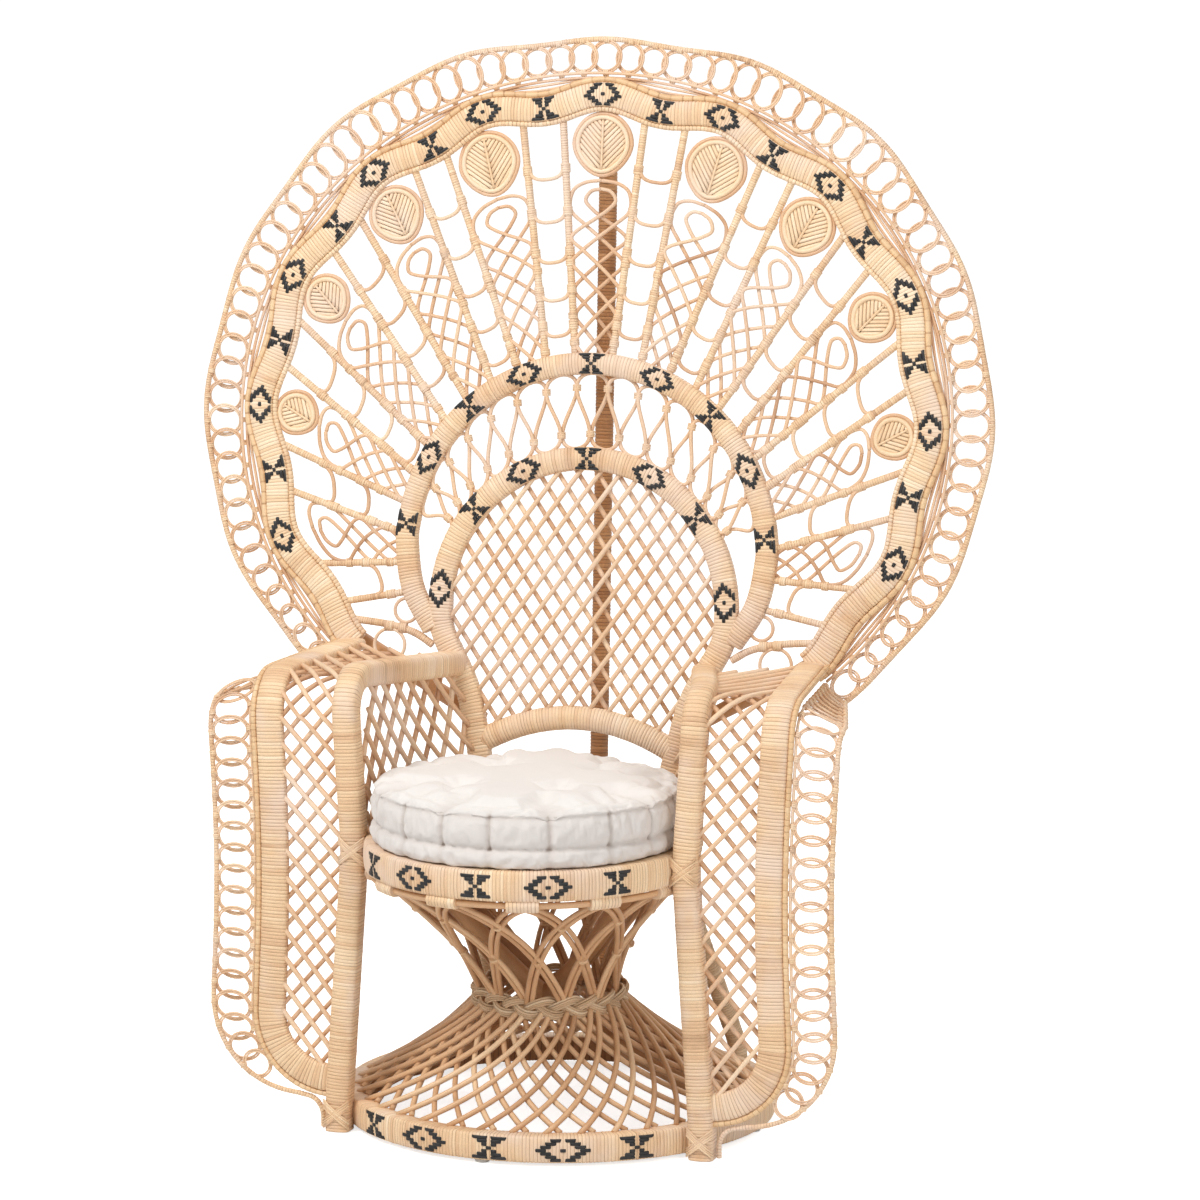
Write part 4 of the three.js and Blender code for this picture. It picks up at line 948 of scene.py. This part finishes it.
for side_name, side in SIDES.items():
    turned = np.array([side, 1, 1])
    post = work(f"arm_post_{side_name}")
    wound(post, post_line * turned, post_facing, band_section(35.5, 34.5, 8, 3, 1), pitch=4.8, sink=0.5)
    outer_band = work(f"arm_band_{side_name}")
    path = band_line * turned
    out = side * unit(np.cross(tangents(path), band_facing))
    wound(outer_band, path + out * 2, band_facing, band_section(39, 16, 5, 3, 1.5), pitch=5.0, sink=0.6)
    piping = path + out * 25.4 + band_facing * 2.5
    wound(outer_band, piping, band_facing, oval(4, 4), pitch=9, sink=0.25, finish=GOLD)
    border = work(f"arm_border_{side_name}")
    rim = edge_line * turned
    over = unit(rim - path)
    face = unit(np.cross(tangents(path), rim - path)) * side
    tail = curve([(289, ARM_Y, 3), (290, ARM_Y, 26), (302, ARM_Y, 43), edge_line[0]], 6)[:-1]
    wound(border, np.vstack([tail, edge_line]) * turned, np.vstack([face[:1].repeat(len(tail), 0), face]),
          oval(3.5, 3.5), pitch=4.4, sink=0.4)
    inner_rim = path + over * 32
    tube(border, inner_rim[::2], face[::2], 2.2)
    ring_lines = (inner_rim + over * 1.5, rim - over, face)
    ring_chain(border, *(rows[RING_START:] for rows in ring_lines), 30.5, 43)

    net = work(f"arm_lattice_{side_name}")
    for hand in (1, -1):
        for count in range(-5, 44):
            share = hand * (run - NET_RISE * count) * NET_STEP / NET_RISE / (BAND_X - POST_X)
            fits = (share > 0.06) & (share < 0.97 * limit)
            if fits.sum() > 4:
                share = share[fits][:, None]
                spots = first[fits] * (1 - share) + second[fits] * share + facing[fits] * hand * NET_DEPTH
                # Painted light and shade: canes of the front layer get a lighter tone, those of the back layer a
                # darker one.
                tube(net, resampled(spots, 12) * turned, resampled(facing[fits], 12), 3.6,
                     tone=rng.normal(0.5 + 0.13 * hand, 0.12))

# Inner sides, from the rim of the seat up to the armrest.
SIDE_LONG, SIDE_TALL, SIDE_STEP, SIDE_FIRST, SIDE_DEPTH = 290, 235, 37, 12, 3.3
SIDE_POINTS, SIDE_R = 80, 234
rim_turns = np.radians(np.linspace(101, 33.5, SIDE_POINTS))
side_low = np.stack([SIDE_R * np.sin(rim_turns), SEAT_Y + SIDE_R * np.cos(rim_turns), 0 * rim_turns + 414], 1)
side_high = np.linspace([246, ARM_Y + 46, ARM_TOP - 6], on_fan((178, -34), 4)[0], SIDE_POINTS)
up = np.linspace(0.0, 0.99, 24)
for side_name, side in SIDES.items():
    net = work(f"side_lattice_{side_name}")
    turned = np.array([side, 1, 1])
    for hand, slope in ((1, 0.34), (-1, 0.95)):
        for count in range(-6, 16):
            share = (SIDE_STEP * count + SIDE_FIRST + hand * up * SIDE_TALL * slope) / SIDE_LONG
            fits = (share > 0.02) & (share < 0.99)
            if fits.sum() > 4:
                index = share[fits] * (SIDE_POINTS - 1)
                low, high = (follow(rows, np.arange(SIDE_POINTS), index) for rows in (side_low, side_high))
                spots = low + (high - low) * up[fits][:, None] + SIDE * hand * SIDE_DEPTH
                tube(net, resampled(spots, 9) * turned, SIDE * side, 3.9)

# Lashings where the arms meet the back and the rings.
LASH_HALF, LASH_RISE, LASH_FRONT = 19, 15, 18.2
LASH_BOW = [3, -1.2, -1.6, -1.2, 3]
for side_name, side in SIDES.items():
    post = work(f"arm_post_{side_name}")
    leg = unit((leg_knee - leg_top) * [side, 1])
    spot = np.array(post_tail) * [side, 1]
    for offset in (-17, 0, 17):
        fan_binding(work("inner_arch"), spot + leg * offset, leg, 18.2, 13.0, 15, pitch=3.2)
    for height, x in ((SEAT_Z, POST_SEAT_X), (26, POST_FOOT_X)):
        for tilt in (-1, 1):
            for strip in (-5.2, -1.8, 1.8, 5.2):
                ends = np.array([[side * x + end * LASH_HALF, ARM_Y - LASH_FRONT,
                                  height + end * tilt * LASH_RISE + strip] for end in (-1, 1)])
                ends[:, 2] = np.clip(ends[:, 2], 4, None)
                line = np.linspace(*ends, len(LASH_BOW))
                line[:, 1] += LASH_BOW
                tube(post, line, [0, -1, 0], 1.6, finish=WRAP, flat=0.5)

# Seat and base rings, with motifs at the front, and a thin dark brown band over the inner face of the base ring,
# which paints the shade inside the base.
BASE_R, BASE_Z, INNER_SHADE_R = 292, 24, 277.6
RING_MOTIFS = [CROSS, DIAMOND, CROSS, DIAMOND, CROSS]


def rays(turn):
    """Directions out from the middle, by turns in radians from the front."""
    return np.stack([np.sin(turn), -np.cos(turn), 0 * turn], 1)


ray = rays(full_turn(180))


def circle(radius, y, z):
    return ray * radius + [0, y, z]


def ring_marks(radius, first, step):
    """Motifs on a ring, from a first turn on by a step in degrees."""
    degree = 2 * math.pi * radius / 360
    return [((first + step * number) % 360 * degree, motif) for number, motif in enumerate(RING_MOTIFS)]


wound(work("seat_ring"), circle(SEAT_R, SEAT_Y, SEAT_Z), ray, band_section(42, 24, 4.5, 7, 1.5),
      pitch=4.8, sink=0.5, closed=True, marks=ring_marks(SEAT_R, -50.9, 24.9), cell=5.6)
wound(work("base_ring"), circle(BASE_R, SHIFT, BASE_Z), ray, band_section(38, 28, 4, 7, 1.5),
      pitch=4.9, sink=0.5, closed=True, marks=ring_marks(BASE_R, -40, 19.4), cell=6.5)
# Painted shade: a thin dark band in the darkest pole tone over the inside of the base ring.
wound(work("base_ring"), circle(INNER_SHADE_R, SHIFT, BASE_Z), ray, band_section(34, 3, 1.2, 1),
      pitch=8, sink=0.3, finish=POLE, closed=True, middle=0.15)

# Seat panel: cane slats side by side, held by two cross slats.
SLAT_END, SLAT_Z, CROSS_SLAT_END, CROSS_SLAT_Z = 206, 419.5, 205, 415.6
panel = work("seat_panel")
for x in np.arange(-200, 201, 10.0):
    half = math.sqrt(SLAT_END ** 2 - x ** 2)
    line = np.linspace([x, SEAT_Y - half, SLAT_Z], [x, SEAT_Y + half, SLAT_Z], 9)
    tube(panel, line, [0, 0, 1], 4.9, 8, flat=0.62)
for y in (-70, 70):
    half = math.sqrt(CROSS_SLAT_END ** 2 - y ** 2)
    line = np.linspace([-half, SEAT_Y + y, CROSS_SLAT_Z], [half, SEAT_Y + y, CROSS_SLAT_Z], 12)
    tube(panel, line, [0, 0, 1], 6, 8, POLE, flat=0.4)

# Hourglass base: braided waist, crossing arches above it and crossing sticks below it.
WAIST_Y, WAIST_Z, WAIST_R = -47 + SHIFT, 186, 95
ARCHES, ARCH_SPREAD, ARCH_TOP, ARCH_DEPTH = 12, math.radians(45), 0.94, 1.8
STICKS, STICK_TWIST, STICK_PAIRING = 38, math.radians(46), 0.2
BRAID_LAPS, BRAID_STRANDS, BRAID_WAVE = 6, 3, 10.5


def flared(low, high, drawn):
    """Place on the cane work between two rings, each given as radius, y and z, and drawn in between them."""
    def place(turn, up, depth=0.0):
        turn, up = np.broadcast_arrays(np.asarray(turn, float), np.asarray(up, float))
        radius = low[0] + (high[0] - low[0]) * up - drawn * np.sin(math.pi * np.clip(up, 0, 1)) + depth
        y = low[1] + (high[1] - low[1]) * up
        z = low[2] + (high[2] - low[2]) * up
        return np.stack([radius * np.sin(turn), y - radius * np.cos(turn), z], 1)
    return place


waist = (WAIST_R, WAIST_Y, WAIST_Z)
upper = flared(waist, (SEAT_R - 1, SEAT_Y, 381), 22)
lower = flared((285, SHIFT, 42), waist, 16)
arches = work("upper_arches")
arch_turns = 2 * math.pi * (np.arange(ARCHES) + 0.5) / ARCHES
reach = np.linspace(-1, 1, 49)
for number, middle in enumerate(arch_turns):
    for aside in (-0.052, 0.052):
        up = np.clip((1 - np.abs(reach) ** 1.4) * (ARCH_TOP + 0.5 * aside), 0, 1)
        turn = middle + reach * (ARCH_SPREAD * (1 + aside))
        depth = ARCH_DEPTH if number % 2 else -ARCH_DEPTH
        tube(arches, upper(turn, up, depth), rays(turn), 3.8, 7, SHADE)
for offset, up in ((0, 0.74), (0.5, 0.405)):
    for number in range(ARCHES):
        turn = np.array([2 * math.pi * (number + offset) / ARCHES])
        spot = upper(turn, up)[0]
        binding(arches, spot, upper(turn, up + 0.02)[0] - spot, rays(turn)[0], 7.6, 6.8, 6, SHADE, middle=0.8)
tube(arches, circle(SEAT_R + 1, SEAT_Y, 376), ray, 4.6, 8, SHADE, closed=True)
for middle in arch_turns:
    turn = middle + np.linspace(-0.1, 0.1, 9)
    line = rays(turn) * SEAT_R + [0, SEAT_Y, 377]
    wound(arches, line, rays(turn), band_section(20, 21, 7, 3, 1), pitch=4.8, sink=0.5)

sticks = work("lower_sticks")
run = np.linspace(0, 1, 15)
for hand, depth, offset in ((1, 3.9, 0.25), (-1, -4.1, 0)):
    for number in range(STICKS):
        paired = (STICK_PAIRING if number % 2 else -STICK_PAIRING) * run ** 2
        start = 2 * math.pi * (number + paired + offset) / STICKS
        turn = start - hand * STICK_TWIST * (1 - run)
        tube(sticks, lower(turn, run, depth), rays(turn), 4.2, finish=SHADE)

braid = work("waist_braid")
turn = full_turn(300)
for strand in range(BRAID_STRANDS):
    phase = turn * BRAID_LAPS + 2 * math.pi * strand / BRAID_STRANDS
    place = rays(turn) * (WAIST_R + 9.5 + 5 * np.sin(2 * phase))[:, None] + [0, WAIST_Y, WAIST_Z]
    place[:, 2] += BRAID_WAVE * np.sin(phase)
    for split in (-4.8, -1.6, 1.6, 4.8):
        proud = rays(turn) * (1.4 - 0.09 * split ** 2)
        tube(braid, place + proud + [0, 0, split], rays(turn), 1.75, finish=BRAID, closed=True)

# Crossing poles inside the base, rear legs and glides.
LEG_R, LEG_TURN = 320.3, math.radians(37)
GLIDE_SIDES = 28
GLIDE_SHAPE = ((7, 0), (9, 0.2), (10, 1.0), (11, 4.0), (10.6, 4.9), (7, 5))
for name, offset in (("front", -22), ("rear", 22)):
    piece = work(f"cross_poles_{name}")
    for hand in (-1, 1):
        line = curve([(-hand * 185, SEAT_Y + offset, 413), (0, WAIST_Y + offset, WAIST_Z),
                      (hand * 280, SHIFT + offset, 20)], 14)
        tube(piece, line, [0, -1, 0], 12.8, 12, POLE)

for side_name, side in SIDES.items():
    foot = np.array([side * LEG_R * math.sin(LEG_TURN), SHIFT + LEG_R * math.cos(LEG_TURN), 0.4])
    leg = np.vstack([on_fan([(side * 129.5, -229), (side * 129.5, -243)]), foot + [[0, 0, 48]], foot])
    leg = relaxed(resampled(leg, 60), 10)
    piece = work(f"rear_leg_{side_name}")
    wound(piece, leg, [0, 1, 0], oval(13.4, 13.4, 12), pitch=4.4, finish=BRAID, middle=0.4)

for place, turn in (("front", -4), ("right", 86), ("rear", 176), ("left", 266)):
    spot = rays(np.radians([turn]))[0] * BASE_R + [0, SHIFT, 0]
    rings = [np.c_[oval(radius, radius, GLIDE_SIDES), np.full(GLIDE_SIDES, height)]
             for radius, height in GLIDE_SHAPE]
    work(f"foot_{place}").add(np.array(rings)[::-1] + spot, GLIDE)

# Pieces of the frame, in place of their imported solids.
for node, made in works.items():
    piece = made.build(node + "_look")
    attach(piece, "frame")
    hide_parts(node)

# Cushion: tufted top, a wall stitched into puffed blocks, and a rolled edge above and below the wall.
CUSHION = np.array([0, -147 + SHIFT, 425.3])
CUSHION_REACH = 224.5
BLOCKS, FIRST_STITCH = 17, math.radians(5.1)
LOWER_SEAM, UPPER_SEAM = 28.5, 72.0
TOP_EDGE, TOP_LEVEL, TOP_LIMIT = 196, 83, 95
TUFTS = np.array([(-66, 70), (74, 84), (-72, -72), (64, -66)])
FILL_FRAMES, FILL_MOVE = 20, 11.0
FILL_SETTINGS = {
    "quality": 6, "mass": 0.25, "tension_stiffness": 12, "compression_stiffness": 12,
    "bending_stiffness": 0.4, "use_pressure": True, "uniform_pressure_force": 4, "shrink_min": -0.07,
    "vertex_group_mass": "sewn",
}


def cover():
    """Slack cover, as a half section from the middle of the bottom over the wall to the middle of the top."""
    bottom = [(share * 202, 0.2) for share in np.linspace(0.03, 1, 14)]
    lower_roll = [(203 + 16 * math.sin(turn), 14.3 - 14.1 * math.cos(turn))
                  for turn in np.linspace(0.3, 2.6, 10)]
    wall = [(212 + 4 * math.sin(math.pi * share), LOWER_SEAM + (UPPER_SEAM - LOWER_SEAM) * share)
            for share in np.linspace(0.03, 0.97, 12)]
    upper_roll = [(TOP_EDGE + 19 * math.cos(turn), 73 + 10 * math.sin(turn))
                  for turn in np.linspace(0.1, 1.5, 7)]
    top = [(share * TOP_EDGE, TOP_LEVEL + 2 * (1 - share ** 2)) for share in np.linspace(0.98, 0.02, 26)]
    rim, level = np.array(bottom + lower_roll + wall + upper_roll + top).T[:, :, None]
    turn = full_turn(220)[None, ::-1]
    return np.stack([rim * np.sin(turn), -rim * np.cos(turn), level + 0 * turn], -1)


def near(distance, size):
    """Nearness: 1 at no distance, and almost 0 at twice a size."""
    return np.exp(-(distance / size) ** 2)


def stitches(points):
    """Nearness of points to the seams, block stitches, edge folds and rolls, and distance from the tufts."""
    x, y, z = points.T
    radius = np.hypot(x, y)
    step = 2 * math.pi / BLOCKS
    turn = np.arctan2(x, -y)
    turn = (turn - FIRST_STITCH + 0.035 * np.sin(4 * turn + 1)) / step
    aside = np.abs(turn - np.round(turn)) * step * radius
    odd = np.round(turn) % 2
    outside = radius > TOP_EDGE - 4
    seams = np.maximum(near(z - LOWER_SEAM, 3.4), near(z - UPPER_SEAM, 3.2)) * outside
    on_wall = outside * (z > LOWER_SEAM - 3) * np.clip((UPPER_SEAM + 11 - z) / 8, 0, 1)
    folds = near(aside, 13) * np.clip((radius - 125) / 70, 0, 1) * (z > UPPER_SEAM + 2) * (0.3 + 0.7 * odd)
    rolls = near(aside, 6) * (radius > 190) * (z < LOWER_SEAM)
    far = np.min([np.hypot(x - u, y - v) for u, v in TUFTS], axis=0)
    tufts = np.where(z > 60, far, 999)
    return seams, near(aside, 3.2) * on_wall, folds, rolls, tufts


def apply_modifier(piece, kind, **values):
    """Works one modifier into the mesh of a piece."""
    give(piece.modifiers.new(kind, kind), values)
    shown = piece.evaluated_get(bpy.context.evaluated_depsgraph_get())
    mesh = bpy.data.meshes.new_from_object(shown)
    piece.modifiers.clear()
    piece.data = mesh


def places(mesh):
    """Points of a mesh in millimetres."""
    spots = np.empty(3 * len(mesh.vertices), np.float32)
    mesh.vertices.foreach_get("co", spots)
    return spots.reshape(-1, 3).astype(float) / MM


def filled(piece):
    """Points of the cover, puffed up with its stitches held, by cloth simulation."""
    slack = places(piece.data)
    seams, blocks, folds, rolls, tufts = stitches(slack - CUSHION)
    held = np.clip(0.75 * seams + 0.95 * blocks + 0.8 * folds + 0.8 * rolls + near(tufts, 9), 0, 1)
    held = np.where(slack[:, 2] - CUSHION[2] < 1.5, 1, held)
    group = piece.vertex_groups.new(name="sewn")
    for index in np.flatnonzero(held > 0.05):
        group.add([int(index)], float(held[index]), "REPLACE")
    fill = piece.modifiers.new("fill", "CLOTH")
    give(fill.settings, FILL_SETTINGS)
    fill.settings.effector_weights.gravity = 0
    fill.point_cache.frame_end = FILL_FRAMES
    for moment in range(1, FILL_FRAMES + 1):
        bpy.context.scene.frame_set(moment)
    shown = piece.evaluated_get(bpy.context.evaluated_depsgraph_get())
    moved = places(shown.data) - slack
    piece.modifiers.clear()
    piece.vertex_groups.clear()
    bpy.context.scene.frame_set(1)
    size = np.maximum(np.linalg.norm(moved, axis=1, keepdims=True), 1e-6)
    return slack + moved * np.minimum(1, FILL_MOVE / size)


cushion_work = Work()
cushion_work.add(cover() + CUSHION, LINEN)
cushion = cushion_work.build("cushion_look")
apply_modifier(cushion, "REMESH", mode="VOXEL", voxel_size=0.005, use_smooth_shade=True)
set_points(cushion.data, filled(cushion))
cushion.data.update()
apply_modifier(cushion, "SUBSURF", levels=1)
spots = places(cushion.data) - CUSHION
seams, blocks, folds, rolls, tufts = stitches(spots)
radius = np.hypot(spots[:, 0], spots[:, 1])
pull = 2.6 * seams + 4.6 * blocks + 3.0 * rolls
drawn = np.clip(radius - pull, 1, CUSHION_REACH) / np.maximum(radius, 1)
spots[:, :2] *= drawn[:, None]
spots[:, 2] -= 8 * folds + 11 * np.exp(-(tufts / 26) ** 1.1)
spots[:, 2] = np.clip(spots[:, 2], 0.2, TOP_LIMIT)
set_points(cushion.data, spots + CUSHION)
# Painted shade in the seams, block stitches, folds, rolls and round the tufts.
crease_shade = np.clip(0.25 * seams + 0.45 * blocks + 0.15 * folds + 0.2 * rolls + 0.3 * near(tufts, 6)
                 + 0.5 * seams * blocks, 0, 1)
paint(cushion.data, "gap_shade", crease_shade)
# Painted light: the top of the cushion, above the upper seam, is painted lighter than its wall.
paint(cushion.data, "tone", np.clip((spots[:, 2] - UPPER_SEAM) / 9, 0, 1))
cushion.data.update()
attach(cushion, "cushion")
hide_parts("seat_cushion")

# Studio: pale floor, soft light from all sides and a large soft key from the upper left.
WHITE, WARM_WHITE = (1.0, 1.0, 1.0), (1.0, 0.985, 0.965)
AMBIENT, BACKDROP, PAPER_GLOW, PAPER_GREY = 0.46, 1.05, 0.7, 0.86
FLOOR_R, FLOOR_Z, FLOOR_SIDES = 90, -0.0004, 64
scene = bpy.context.scene
scene.view_settings.view_transform = "Standard"
scene.view_settings.look = "None"
world = bpy.data.worlds.new("studio")
scene.world = world
world.use_nodes = True
sky = world.node_tree
ambient = sky.nodes["Background"]
join(sky, ambient, {"Color": (*WARM_WHITE, 1), "Strength": AMBIENT})
backdrop = add_node(sky, "Background", {"Color": (*WHITE, 1), "Strength": BACKDROP})
seen = add_node(sky, "LightPath", {})
chosen = add_node(sky, "MixShader", {"Fac": seen, 1: ambient.outputs["Background"], 2: backdrop})
join(sky, sky.nodes["World Output"], {"Surface": chosen})

floor_mesh = bpy.data.meshes.new("floor")
floor_rim = [(FLOOR_R * math.cos(turn), FLOOR_R * math.sin(turn), FLOOR_Z) for turn in full_turn(FLOOR_SIDES)]
floor_mesh.from_pydata(floor_rim, [], [list(range(FLOOR_SIDES))])
floor = bpy.data.objects.new("floor", floor_mesh)
scene.collection.objects.link(floor)
paper, tree, shader = new_material("paper")
tree.nodes.remove(shader)
seen = add_node(tree, "LightPath", {})
strength = add_node(tree, "Math", {0: seen, 1: PAPER_GLOW}, operation="MULTIPLY")
matte = add_node(tree, "BsdfDiffuse", {"Color": (PAPER_GREY, PAPER_GREY, PAPER_GREY, 1)})
glow = add_node(tree, "Emission", {"Color": (*WHITE, 1), "Strength": strength})
join(tree, tree.nodes["Material Output"], {"Surface": add_node(tree, "AddShader", {0: matte, 1: glow})})
floor_mesh.materials.append(paper)
floor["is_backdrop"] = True


def aimed(name, data, place, aim):
    """New lamp or camera in a place, turned to its aim."""
    made = bpy.data.objects.new(name, data)
    made.location = place
    direction = Vector(aim) - Vector(place)
    made.rotation_euler = direction.to_track_quat("-Z", "Y").to_euler()
    scene.collection.objects.link(made)
    return made


for name, place, aim, size, power, colour in (
        ("key", (-1.8, -2.8, 4.6), (0, 0, 0.8), 2.2, 174, WARM_WHITE),
        ("fill", (3.4, -3.0, 2.6), (0, 0, 0.8), 2.4, 58, (1.0, 0.99, 0.98)),
        ("back", (0.5, 3.2, 3.4), (0, 0, 0.9), 2.4, 58, WHITE)):
    light = bpy.data.lights.new(name, "AREA")
    give(light, {"shape": "DISK", "size": size, "energy": power, "color": colour})
    aimed(name, light, place, aim)

# Camera.
AZIMUTH, ELEVATION, DISTANCE = math.radians(17.37), math.radians(9.28), 8.0
target = np.array([0, SHIFT * MM, 0.75])
place = target + DISTANCE * np.array([math.sin(AZIMUTH) * math.cos(ELEVATION),
                                      -math.cos(AZIMUTH) * math.cos(ELEVATION), math.sin(ELEVATION)])
lens = bpy.data.cameras.new("camera")
give(lens, {"sensor_width": 36, "lens": 171.18, "shift_x": 0.0335, "shift_y": -0.0072})
scene.camera = aimed("camera", lens, place, target)

sizes = {"packed": [list(corner) for corner in packed_bounds], "shown": [list(corner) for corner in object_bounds()]}
